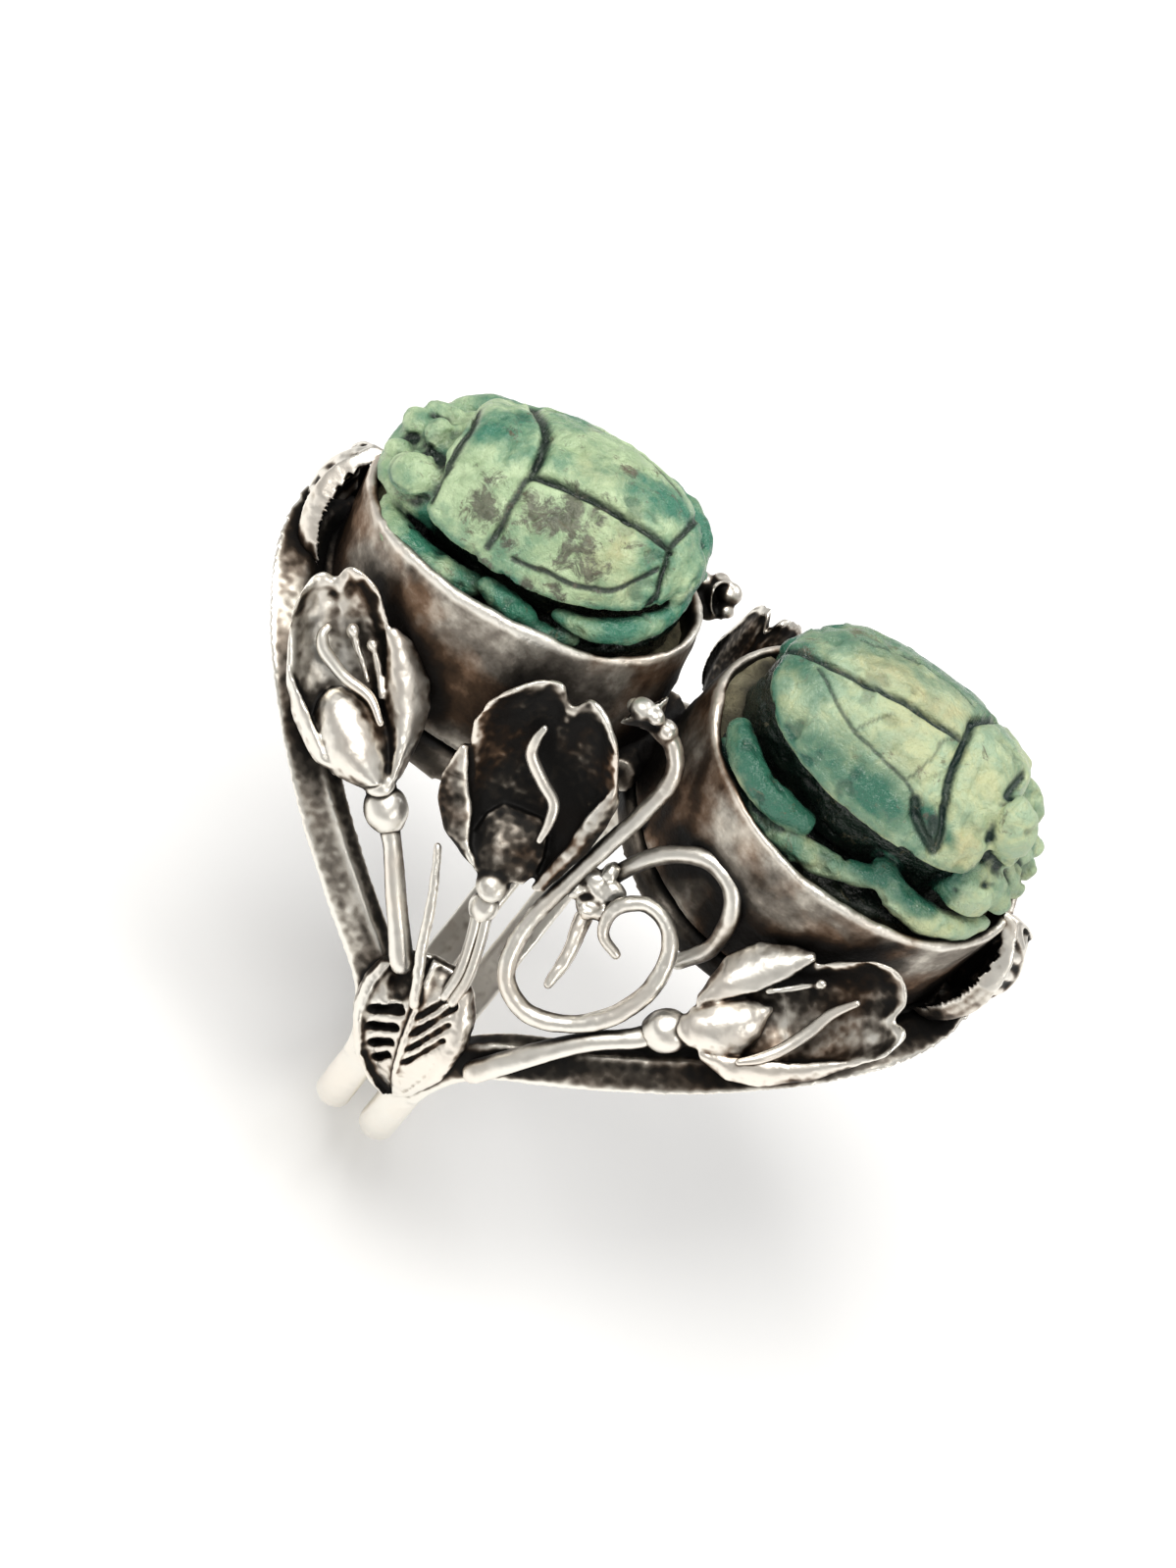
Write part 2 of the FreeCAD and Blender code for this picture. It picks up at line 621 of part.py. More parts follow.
def make_shoulder(prefix, angle, names, scroll_top_shares, flowers):
    """All pieces of one shoulder. The far one is the near one turned half round about Z."""
    side = turned(UP, angle)
    walls = [finished[key].Shape for key in ("left_bezel_wall", "right_bezel_wall")]
    bases = [finished[key].Shape for key in ("left_bezel_base", "right_bezel_base")]
    stones = [finished[key].Shape for key in ("left_scarab", "right_scarab")]
    metal = walls + bases + stones + [finished["left_band"].Shape, finished["right_band"].Shape]
    routes = wires_of(side, flowers["middle"][0], scroll_top_shares)

    leaf_top = spot(-0.065, 64.5, 0)
    leaf_turn = 82
    turn = math.radians(leaf_turn)
    outward = Vector(0, -math.sin(turn), math.cos(turn))
    downward = Vector(0, -math.cos(turn), -math.sin(turn))
    tilt_share = 0.32
    leaf_place = axes_from(leaf_top, (downward + ALONG_FINGER * tilt_share).normalize(), outward)
    seat_lift_share = 0.0245
    leaf_place.Base = leaf_place.Base + outward * seat_lift_share * seat_radius
    leaf_shape = shoulder_leaf(leaf_place)
    leaf_shape.transformShape(side.toMatrix(), True)
    leaf_shape = fitted(leaf_shape, seat_cylinder())
    add_piece(prefix + "_leaf", leaf_shape, side.multiply(leaf_place))

    for key, (bead_spot, tip_spot, bead_size, width_size) in flowers.items():
        name = "%s_%s" % (prefix, names[key])
        base = spot(*bead_spot)
        tip = spot(*tip_spot)
        bead = doc.addObject("Part::Sphere", name + "_bead")
        bead.Label = name + "_bead"
        link(bead, Radius="Sizes." + bead_size)
        bead.Placement = Placement(side.multVec(base), side.Rotation)
        doc.recompute()
        finished[name + "_bead"] = bead
        along = (tip - base).normalize()
        facing = math.radians(bead_spot[1])
        outward = Vector(0, -math.sin(facing), math.cos(facing))
        place = side.multiply(axes_from(base, along, (outward - along * outward.dot(along)).normalize()))
        sink = Placement(Vector(0, 0, -size("bead_radius") / 2), Rotation())
        place = place.multiply(sink)
        half_width = size(width_size)
        flower = flower_shape(size("flower_length"), half_width)
        flower.transformShape(place.toMatrix(), True)
        add_piece(name + "_flower", fitted(flower, bead.Shape, *metal), place)
        course = [place.multVec(p) for p in pistil_points(size("flower_length"), half_width)]
        pistil = wire_along(course, size("pistil_radius"))
        pistil = pistil.fuse(ball(course[-1], 2 * size("pistil_radius")))
        add_piece(name + "_pistil", fitted(pistil, finished[name + "_flower"].Shape, *metal), place)
        stem = wire_along(routes[key + "_stem"], size("stem_radius"))
        add_piece(name + "_stem", fitted(stem, bead.Shape, leaf_shape, *metal), side)

    ornaments = [finished[name].Shape for name in finished if name.startswith(prefix)]
    scroll = wire_along(routes["scroll"], size("scroll_radius"))
    mouth = routes["scroll"][0]
    flare = (mouth - routes["scroll"][1]).normalize()
    horn = Part.makeCone(
        size("scroll_radius"), size("trumpet_radius"), size("trumpet_length"), mouth, flare
    )
    knob = ball(routes["scroll"][-1], size("scroll_radius"))
    scroll = scroll.fuse([horn, knob])
    add_piece(prefix + "_scroll", fitted(scroll, *(metal + ornaments)), side)
    ornaments.append(finished[prefix + "_scroll"].Shape)
    loop = wire_along(routes["loop"], size("loop_radius"))
    add_piece(prefix + "_loop", fitted(loop, *(metal + ornaments)), side)
    ornaments.append(finished[prefix + "_loop"].Shape)
    grain_spots = [(0.115, 34, 0.75), (0.165, 33.5, 1.0), (0.14, 38, 0.55)]
    grains = [ball(side.multVec(spot(*place)), size("granule_radius")) for place in grain_spots]
    cluster = grains[0].fuse(grains[1:])
    add_piece(prefix + "_granules", fitted(cluster, *(metal + ornaments)), side)
    ornaments.append(finished[prefix + "_granules"].Shape)
    root = side.multVec(spot(0.145, 40, 0.5))
    aim = (side.multVec(spot(0.18, 55, 0.6)) - root).normalize()
    point_share = 0.15
    tendril = Part.makeCone(
        size("tendril_radius"), point_share * size("tendril_radius"), size("tendril_length"), root, aim
    )
    add_piece(prefix + "_tendril", fitted(tendril, *(metal + ornaments)), side)


def make_end_leaf(name, side):
    """A ribbed leaf that stands against the outer end of a bezel and rests on the band."""
    rim = bezel_place(side)
    half_length = size(side + "_half_length")
    height = size("end_leaf_height")
    foot = rim.multVec(Vector(half_length, 0, -height))
    upright = rim.Rotation.multVec(UP)
    outward = rim.Rotation.multVec(ALONG_FINGER)
    slots = 4
    outline, cuts = leaf_blade(height, size("end_leaf_half_width"), slots, size("leaf_slot_width"))
    sheet_thickness = size("end_leaf_sheet")
    bulge = size("end_leaf_bulge")
    dome = (height**2 / 4 + bulge**2) / (2 * bulge)
    middle = Vector(height / 2, 0, bulge - dome)
    prism = outline.extrude(Vector(0, 0, height))
    prism.translate(Vector(0, 0, -height / 2))
    body = prism.common(ball(middle, dome).cut(ball(middle, dome - 2 * sheet_thickness)))
    core = prism.common(
        ball(middle, dome - size("leaf_slot_depth")).cut(ball(middle, dome - 2 * sheet_thickness))
    )
    leaf = body.cut(Part.makeCompound(cuts)).fuse(core)
    place = axes_from(foot, upright, outward)
    leaf.transformShape(place.toMatrix(), True)
    solid_oval = doc.getObject(side + "WallOuter").Shape
    add_piece(name, fitted(leaf, solid_oval, seat_cylinder(), finished[side + "_bezel_base"].Shape), place)


make_bands()
make_bezels()
make_shoulder(
    "near",
    0,
    {"left": "left", "middle": "middle", "right": "right"},
    [(0, 15, 5.0), (0.06, 15.5, 4.8), (0.105, 18, 4.1), (0.1, 23, 3.0), (0.072, 33, 1.6)],
    {
        "left": ((-0.39, 47, 0.7), (-0.82, 22, 2.4), "bead_radius", "flower_half_width"),
        "middle": ((-0.06, 50, 0.6), (-0.21, 18, 4.8), "small_bead_radius", "middle_flower_half_width"),
        "right": ((0.47, 47, 0.7), (0.883, 22.5, 3.0), "bead_radius", "flower_half_width"),
    },
)
make_shoulder(
    "far",
    180,
    {"left": "right", "middle": "middle", "right": "left"},
    [(0.11, 15, 5.0), (0.17, 16, 4.7), (0.19, 20, 3.7), (0.16, 26, 2.5), (0.11, 34, 1.5)],
    {
        "left": ((-0.39, 47, 0.7), (-0.82, 22, 2.4), "bead_radius", "flower_half_width"),
        "middle": ((-0.1, 50, 0.6), (-0.06, 17, 6.2), "small_bead_radius", "bridge_flower_half_width"),
        "right": ((0.47, 47, 0.7), (0.883, 22.5, 3.0), "bead_radius", "flower_half_width"),
    },
)
make_end_leaf("left_end_leaf", "left")
make_end_leaf("right_end_leaf", "right")
doc.recompute()

# Check every object, then write one file per piece
for item in doc.Objects:
    faults = [state for state in item.State if state in ("Invalid", "Error")]
    if faults:
        raise RuntimeError("%s is %s" % (item.Name, faults))
for name, item in finished.items():
    if item.Shape.isNull() or not item.Shape.isValid():
        raise RuntimeError(name + " has no valid shape")
os.makedirs("parts", exist_ok=True)
for name, item in finished.items():
    item.Shape.exportStep("parts/" + name + ".step")
    print("%s: %d solid, %.2f mm3" % (name, len(item.Shape.Solids), item.Shape.Volume))
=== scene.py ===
"""Looks of the double scarab ring: two carved scarabs in oxidised silver, with openwork flower shoulders.

Lengths are in millimetres in the ring's own frame, and become metres when a piece is made.
Along the shoulders a place is a share of the reach, an angle from the top and a share of the ornaments' lift.
"""
import math

import bmesh
import bpy
import numpy as np
from mathutils import Matrix, Vector
from mathutils.bvhtree import BVHTree


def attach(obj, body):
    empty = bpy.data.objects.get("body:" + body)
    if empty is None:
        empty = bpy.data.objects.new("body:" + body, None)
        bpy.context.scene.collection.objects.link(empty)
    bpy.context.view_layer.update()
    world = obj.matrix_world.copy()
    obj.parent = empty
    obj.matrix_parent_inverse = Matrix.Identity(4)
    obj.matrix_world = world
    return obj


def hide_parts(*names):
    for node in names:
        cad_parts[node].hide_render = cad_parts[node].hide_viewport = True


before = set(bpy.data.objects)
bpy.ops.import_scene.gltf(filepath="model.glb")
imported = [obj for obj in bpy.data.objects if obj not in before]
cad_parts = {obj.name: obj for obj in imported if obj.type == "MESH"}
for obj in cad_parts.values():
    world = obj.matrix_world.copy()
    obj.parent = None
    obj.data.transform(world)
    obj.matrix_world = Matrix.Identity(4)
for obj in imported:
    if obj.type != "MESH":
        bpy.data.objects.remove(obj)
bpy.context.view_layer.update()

MM = 0.001
SEAT = 9.6  # radius of the bands' outside, on which everything sits
REACH = 14.2  # from the ring's middle to the outer end of a band, along the finger
LIFT = 1.0
BEAD = 0.78
SMALL_BEAD = 0.52
TO_CAMERA = Vector((0, -0.77, 0.64))

HALF_TURN = Matrix.Rotation(math.pi, 4, "Z")
LEFT_BEZEL = (
    Matrix.Translation((-7.1, 0, 14.1))
    @ Matrix.Rotation(math.radians(-9), 4, "Y")
    @ HALF_TURN
)
RIGHT_BEZEL = (
    Matrix.Translation((7.12, -0.4, 14.85))
    @ Matrix.Rotation(math.radians(9), 4, "X")
    @ Matrix.Rotation(math.radians(4), 4, "Y")
)
LEFT_HALF = (6.36, 4.85)  # half length and half width of a bezel's rim
RIGHT_HALF = (6.5, 5.05)


# Numbers

def smooth_step(low, high, value):
    """0 below low, 1 above high and smooth between."""
    share = np.clip((value - low) / (high - low), 0, 1)
    return share * share * (3 - 2 * share)


def grain(points, scale, seed):
    """Smooth noise from -1 to 1 at each point; scale is the size of its features."""
    place = points / scale + seed * 7.31
    cell = np.floor(place).astype(np.int64)
    part = place - cell
    part = part * part * (3 - 2 * part)
    total = np.zeros(len(points))
    for dx in (0, 1):
        for dy in (0, 1):
            for dz in (0, 1):
                code = (cell[:, 0] + dx) * 73856093 ^ (cell[:, 1] + dy) * 19349663
                code = code ^ (cell[:, 2] + dz) * 83492791
                code = (code ^ (code >> 13)) * 1274126177
                code = (code ^ (code >> 16)) & 0xFFFF
                weight = (
                    np.abs(1 - dx - part[:, 0]) * np.abs(1 - dy - part[:, 1]) * np.abs(1 - dz - part[:, 2])
                )
                total += weight * (code / 0x8000 - 1)
    return total


def clouds(points, scale, seed, octaves=3):
    """Noise summed over ever smaller features."""
    total = np.zeros(len(points))
    for step in range(octaves):
        total += grain(points, scale / 2**step, seed + step) / 2**step
    return total


def spline(points, steps):
    """A smooth line through control points."""
    points = np.array(points, dtype=float)
    ahead = np.vstack([2 * points[0] - points[1], points, 2 * points[-1] - points[-2]])
    line = []
    for index in range(len(points) - 1):
        a, b, c, d = ahead[index:index + 4]
        for step in range(steps):
            t = step / steps
            bend, twist = 2 * a - 5 * b + 4 * c - d, 3 * b - a - 3 * c + d
            line.append(0.5 * (2 * b + (c - a) * t + bend * t**2 + twist * t**3))
    line.append(points[-1])
    return np.array(line)


def shoulder_spot(along_share, angle, lift_share):
    """A place on the near shoulder."""
    radius = SEAT + lift_share * LIFT
    turn = math.radians(angle)
    return Vector((along_share * REACH, -radius * math.sin(turn), radius * math.cos(turn)))


def axes_from(origin, along, outward):
    """A frame whose X runs along one direction and whose Z is as near as can be to another."""
    x = along.normalized()
    y = outward.cross(x).normalized()
    z = x.cross(y)
    return Matrix.Translation(origin) @ Matrix((x, y, z)).transposed().to_4x4()


# Meshes

def mesh_of(points, faces):
    """A mesh of points and faces."""
    mesh = bpy.data.meshes.new("form")
    points = [tuple(float(c) for c in point) for point in points]
    mesh.from_pydata(points, [], [tuple(int(i) for i in face) for face in faces])
    mesh.update()
    return mesh


def coords(mesh):
    """The vertices of a mesh as rows."""
    flat = np.empty(len(mesh.vertices) * 3)
    mesh.vertices.foreach_get("co", flat)
    return flat.reshape(-1, 3)


def place_coords(mesh, points):
    """Move a mesh's vertices."""
    mesh.vertices.foreach_set("co", np.asarray(points, dtype=float).ravel())
    mesh.update()


def normals(mesh):
    """The vertex normals of a mesh."""
    flat = np.empty(len(mesh.vertices) * 3)
    mesh.vertex_normals.foreach_get("vector", flat)
    return flat.reshape(-1, 3)


def roughened(mesh, *layers):
    """Make a surface uneven; a layer is the height, size and seed of its lumps and a number of octaves."""
    points = coords(mesh)
    lift = sum(height * clouds(points, size, seed, octaves) for height, size, seed, octaves in layers)
    place_coords(mesh, points + normals(mesh) * lift[:, None])
    return mesh


def edges_of(mesh):
    """The edges of a mesh as pairs."""
    flat = np.empty(len(mesh.edges) * 2, dtype=np.int32)
    mesh.edges.foreach_get("vertices", flat)
    return flat.reshape(-1, 2)


def around(edges, values):
    """The mean of each vertex's neighbours."""
    values = values if values.ndim == 2 else values[:, None]
    count = np.bincount(edges.ravel(), minlength=len(values))
    total = np.stack(
        [
            np.bincount(edges[:, 0], values[edges[:, 1], axis], len(values))
            + np.bincount(edges[:, 1], values[edges[:, 0], axis], len(values))
            for axis in range(values.shape[1])
        ],
        axis=1,
    )
    return total / np.maximum(count, 1)[:, None]


def relaxed(mesh, rounds):
    """Smooth a mesh."""
    edges = edges_of(mesh)
    points = coords(mesh)
    for _ in range(rounds):
        points += 0.5 * (around(edges, points) - points)
    place_coords(mesh, points)
    return mesh


def moved(mesh, matrix):
    """Place a mesh."""
    mesh.transform(matrix)
    mesh.update()
    return mesh


def joined(meshes):
    """Several meshes as one."""
    work = bmesh.new()
    for mesh in meshes:
        work.from_mesh(mesh)
        bpy.data.meshes.remove(mesh)
    mesh = bpy.data.meshes.new("form")
    work.to_mesh(mesh)
    work.free()
    return mesh


def modified(mesh, kind, **settings):
    """A mesh as a modifier leaves it."""
    holder = bpy.data.objects.new("form", mesh)
    bpy.context.scene.collection.objects.link(holder)
    modifier = holder.modifiers.new("form", kind)
    for key, value in settings.items():
        setattr(modifier, key, value)
    bpy.context.view_layer.update()
    evaluated = holder.evaluated_get(bpy.context.evaluated_depsgraph_get())
    result = bpy.data.meshes.new_from_object(evaluated)
    bpy.data.objects.remove(holder)
    bpy.data.meshes.remove(mesh)
    return result


def skinned(meshes, voxel, rounds):
    """One even skin around overlapping closed forms."""
    return relaxed(modified(joined(meshes), "REMESH", mode="VOXEL", voxel_size=voxel), rounds)


def shell_faces(rows, columns, closed_rows=False):
    """The faces of a grid whose columns run round."""
    faces = []
    for row in range(rows if closed_rows else rows - 1):
        for column in range(columns):
            after = (column + 1) % columns
            here, below = row * columns, (row + 1) % rows * columns
            faces.append((here + column, here + after, below + after, below + column))
    return faces


def loft(sections):
    """A closed form through sections with equal numbers of points, with both ends filled."""
    sections = [np.array(section, dtype=float) for section in sections]
    rows, columns = len(sections), len(sections[0])
    points = list(np.vstack(sections))
    faces = shell_faces(rows, columns)
    points += [sections[0].mean(axis=0), sections[-1].mean(axis=0)]
    first, last = rows * columns, rows * columns + 1
    for column in range(columns):
        after = (column + 1) % columns
        faces.append((after, column, first))
        faces.append(((rows - 1) * columns + column, (rows - 1) * columns + after, last))
    return mesh_of(points, faces)


def ball(centre, radii, level=3):
    """A rounded lump."""
    work = bmesh.new()
    bmesh.ops.create_icosphere(work, subdivisions=level, radius=1)
    mesh = bpy.data.meshes.new("form")
    work.to_mesh(mesh)
    work.free()
    scale = Matrix.Diagonal((radii[0], radii[1], radii[2], 1))
    return moved(mesh, Matrix.Translation(centre) @ scale)


def tube(points, radii, sides=18, flat=1.0):
    """A wire with round ends along a line; flat squeezes its section across the upward direction."""
    points = np.array(points, dtype=float)
    radii = np.interp(np.linspace(0, 1, len(points)), np.linspace(0, 1, len(radii)), radii)
    tangents = np.gradient(points, axis=0)
    tangents /= np.linalg.norm(tangents, axis=1)[:, None]
    side = np.cross(tangents[0], (0, 0, 1))
    side /= np.linalg.norm(side)
    sections = []
    turns = np.linspace(0, 2 * math.pi, sides, endpoint=False)
    for point, tangent, radius in zip(points, tangents, radii):
        side = side - tangent * np.dot(side, tangent)
        side /= np.linalg.norm(side)
        other = np.cross(tangent, side)
        ring = np.outer(np.cos(turns), side) + np.outer(np.sin(turns), other) * flat
        sections.append((point, tangent, ring, radius))
    round_end = (0.2, 0.55, 0.85)
    point, tangent, ring, radius = sections[0]
    rows = [point - tangent * radius * math.sqrt(1 - share**2) + ring * radius * share for share in round_end]
    rows += [point + ring * radius for point, tangent, ring, radius in sections]
    point, tangent, ring, radius = sections[-1]
    for share in reversed(round_end):
        rows.append(point + tangent * radius * math.sqrt(1 - share**2) + ring * radius * share)
    return loft(rows)


def distance_to(points, line):
    """Each point's distance to a run of straight pieces."""
    nearest = np.full(len(points), 1e9)
    line = np.array(line, dtype=float)
    for start, end in zip(line, line[1:]):
        run = end - start
        share = np.clip(((points - start) @ run) / max(run @ run, 1e-12), 0, 1)
        nearest = np.minimum(nearest, np.linalg.norm(points - start - share[:, None] * run, axis=1))
    return nearest


def curvature(mesh):
    """How much each vertex stands out of its surroundings, from about -1 in a groove to 1 on an edge."""
    edges = edges_of(mesh)
    points = coords(mesh)
    length = np.linalg.norm(points[edges[:, 0]] - points[edges[:, 1]], axis=1).mean()
    offset = ((points - around(edges, points)) * normals(mesh)).sum(axis=1) / length**2
    for _ in range(4):
        offset = 0.4 * offset + 0.6 * around(edges, offset)[:, 0]
    return np.clip(offset, -4, 4) / 4


def store(mesh, name, values):
    """Keep a number for each vertex, for the materials."""
    layer = mesh.attributes.new(name, "FLOAT", "POINT")
    layer.data.foreach_set("value", np.asarray(values, dtype=np.float32))


# Pieces

made = []


def piece(name, mesh, material, slot, *nodes):
    """Make a piece of the ring out of a mesh in millimetres."""
    store(mesh, "edge", curvature(mesh))
    if "wear_and_painted_light" not in mesh.attributes:
        store(mesh, "wear_and_painted_light", np.zeros(len(mesh.vertices)))
    mesh.name = name
    item = bpy.data.objects.new(name, mesh)
    bpy.context.scene.collection.objects.link(item)
    mesh.materials.clear()
    mesh.materials.append(material)
    for polygon in mesh.polygons:
        polygon.use_smooth = True
    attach(item, "root")
    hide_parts(*nodes)
    made.append(item)


def shade_all():
    """Find how open each vertex is to its surroundings: the silver keeps its tarnish where this is low, and
    the glaze and cement darken there as painted shade.
    """
    points, faces, start = [], [], 0
    for item in made:
        mesh = item.data
        points.append(coords(mesh))
        loops = np.empty(len(mesh.loops), dtype=np.int32)
        mesh.loops.foreach_get("vertex_index", loops)
        starts = np.empty(len(mesh.polygons), dtype=np.int32)
        mesh.polygons.foreach_get("loop_start", starts)
        totals = np.empty(len(mesh.polygons), dtype=np.int32)
        mesh.polygons.foreach_get("loop_total", totals)
        loops = (loops + start).tolist()
        faces += [loops[s:s + t] for s, t in zip(starts.tolist(), totals.tolist())]
        start += len(mesh.vertices)
    tree = BVHTree.FromPolygons(np.vstack(points).tolist(), faces)
    count, reach, start_gap = 7, 2.6, 0.05
    golden = math.pi * (3 - math.sqrt(5))
    rays = []
    for index in range(count):
        height = 0.25 + 0.7 * (index + 0.5) / count
        spread = math.sqrt(1 - height**2)
        rays.append((spread * math.cos(golden * index), spread * math.sin(golden * index), height))
    for item in made:
        mesh = item.data
        out = normals(mesh)
        helper = np.where(np.abs(out[:, :1]) < 0.8, [[1.0, 0, 0]], [[0, 1.0, 0]])
        side = np.cross(out, helper)
        side /= np.linalg.norm(side, axis=1)[:, None]
        other = np.cross(out, side)
        origins = (coords(mesh) + out * start_gap).tolist()
        reached = np.zeros(len(origins))
        for a, b, c in rays:
            aims = (a * side + b * other + c * out).tolist()
            hits = [tree.ray_cast(origin, aim, reach)[3] for origin, aim in zip(origins, aims)]
            reached += np.array([reach if hit is None else hit for hit in hits])
        openness = reached / (count * reach)
        edges = edges_of(mesh)
        for _ in range(3):
            openness = 0.4 * openness + 0.6 * around(edges, openness)[:, 0]
        store(mesh, "open", openness)
        radial = coords(mesh) * (0, 1, 1)
        radial /= np.maximum(np.linalg.norm(radial, axis=1), 0.1)[:, None]
        store(mesh, "buff", smooth_step(0.2, 0.95, (out * radial).sum(axis=1)))


# Materials

def ramp(tree, stops, source):
    """A colour ramp; each stop has a position and a colour, or one level for a grey."""
    item = tree.nodes.new("ShaderNodeValToRGB")
    elements = item.color_ramp.elements
    while len(elements) < len(stops):
        elements.new(0.5)
    for element, (position, colour) in zip(elements, stops):
        element.position = position
        element.color = (*colour, 1) if isinstance(colour, tuple) else (colour, colour, colour, 1)
    tree.links.new(source, item.inputs[0])
    return item.outputs[0]


def maths(tree, operation, a, b, clamp=False):
    """One step on two numbers or sockets."""
    item = tree.nodes.new("ShaderNodeMath")
    item.operation = operation
    item.use_clamp = clamp
    for socket, value in zip(item.inputs, (a, b)):
        if isinstance(value, (int, float)):
            socket.default_value = value
        else:
            tree.links.new(value, socket)
    return item.outputs[0]


def total(tree, *terms, clamp=False):
    """The sum of numbers and sockets."""
    result = terms[0]
    for term in terms[1:-1]:
        result = maths(tree, "ADD", result, term)
    return maths(tree, "ADD", result, terms[-1], clamp)


def times(tree, a, b, clamp=False):
    """A product of two numbers or sockets."""
    return maths(tree, "MULTIPLY", a, b, clamp)


def minus(tree, a, b):
    """A difference of two numbers or sockets."""
    return maths(tree, "SUBTRACT", a, b)


def swing(tree, noise, amount):
    """Noise about zero, by an amount."""
    return times(tree, minus(tree, noise, 0.5), amount)


def mixed(tree, factor, a, b, mode="MIX"):
    """One colour over another."""
    item = tree.nodes.new("ShaderNodeMix")
    item.data_type = "RGBA"
    item.blend_type = mode
    for socket, value in ((item.inputs[0], factor), (item.inputs[6], a), (item.inputs[7], b)):
        if isinstance(value, (int, float)):
            socket.default_value = value
        elif isinstance(value, tuple):
            socket.default_value = (*value, 1)
        else:
            tree.links.new(value, socket)
    return item.outputs[2]


def shader(name):
    """A new material with its tree and surface shader."""
    material = bpy.data.materials.new(name)
    material.use_nodes = True
    tree = material.node_tree
    return material, tree, tree.nodes["Principled BSDF"]


def noise_of(tree, position, scale, detail=4, roughness=0.6, distortion=0.0):
    """The value of a noise texture in object space."""
    item = tree.nodes.new("ShaderNodeTexNoise")
    item.inputs["Scale"].default_value = scale
    item.inputs["Detail"].default_value = detail
    item.inputs["Roughness"].default_value = roughness
    item.inputs["Distortion"].default_value = distortion
    tree.links.new(position, item.inputs["Vector"])
    return item.outputs["Fac"]


def attribute(tree, name):
    """A number kept on the mesh."""
    item = tree.nodes.new("ShaderNodeAttribute")
    item.attribute_name = name
    return item.outputs["Fac"]


def dress(tree, surface, colour, roughness, relief, strength, depth):
    """Give the surface shader its colour, roughness and relief."""
    tree.links.new(colour, surface.inputs["Base Color"])
    tree.links.new(roughness, surface.inputs["Roughness"])
    bump = tree.nodes.new("ShaderNodeBump")
    bump.inputs["Strength"].default_value = strength
    bump.inputs["Distance"].default_value = depth
    tree.links.new(relief, bump.inputs["Height"])
    tree.links.new(bump.outputs["Normal"], surface.inputs["Normal"])


def silver(name, polish, reach, warmth, pits, gloss, mottling=0.9, edges=1.3):
    """Oxidised silver: nearly black where sheltered, grey-brown in the open and bright where a buff reaches.

    polish brightens it all, reach the places that face outwards, edges its sharp edges; mottling and
    warmth are the strengths of its blotches and brown tint, pits its relief and gloss its least roughness.
    """
    material, tree, surface = shader(name)
    position = tree.nodes.new("ShaderNodeTexCoord").outputs["Object"]
    blotch = noise_of(tree, position, 520, 4, 0.6)
    fine = noise_of(tree, position, 2400, 4, 0.65)
    shelter, contrast = 0.64, 1.7
    worn = total(
        tree,
        times(tree, minus(tree, attribute(tree, "open"), shelter), contrast),
        times(tree, attribute(tree, "buff"), reach),
        times(tree, attribute(tree, "edge"), edges),
        swing(tree, blotch, mottling),
        swing(tree, fine, 0.3),
        # a stored offset per vertex; on the flowers it is painted light and shade
        attribute(tree, "wear_and_painted_light"),
        polish,
        clamp=True,
    )
    colour = ramp(
        tree,
        [
            (0.0, (0.006, 0.0055, 0.005)), (0.22, (0.022, 0.019, 0.016)), (0.42, (0.085, 0.074, 0.062)),
            (0.62, (0.28, 0.25, 0.215)), (0.82, (0.66, 0.62, 0.55)), (1.0, (0.92, 0.89, 0.82)),
        ],
        worn,
    )
    tint = ramp(tree, [(0.44, 0.0), (0.62, 1.0)], noise_of(tree, position, 330, 3, 0.5, 0.4))
    dull = ramp(tree, [(0.35, 1.0), (0.8, 0.15)], worn)
    tint = times(tree, times(tree, tint, warmth), dull)
    brown = mixed(tree, 1.0, colour, (1.0, 0.72, 0.55), "MULTIPLY")
    metal = ramp(tree, [(0.0, 0.5), (0.4, 0.95)], worn)
    tree.links.new(metal, surface.inputs["Metallic"])
    surface.inputs["Specular IOR Level"].default_value = 0.3
    rough = ramp(tree, [(0.0, 0.60), (0.5, gloss + 0.16), (1.0, gloss)], worn)
    rough = total(tree, rough, swing(tree, fine, 0.25))
    relief = total(tree, blotch, times(tree, fine, 0.35))
    dress(tree, surface, mixed(tree, tint, colour, brown), rough, relief, pits, 0.00012)
    return material


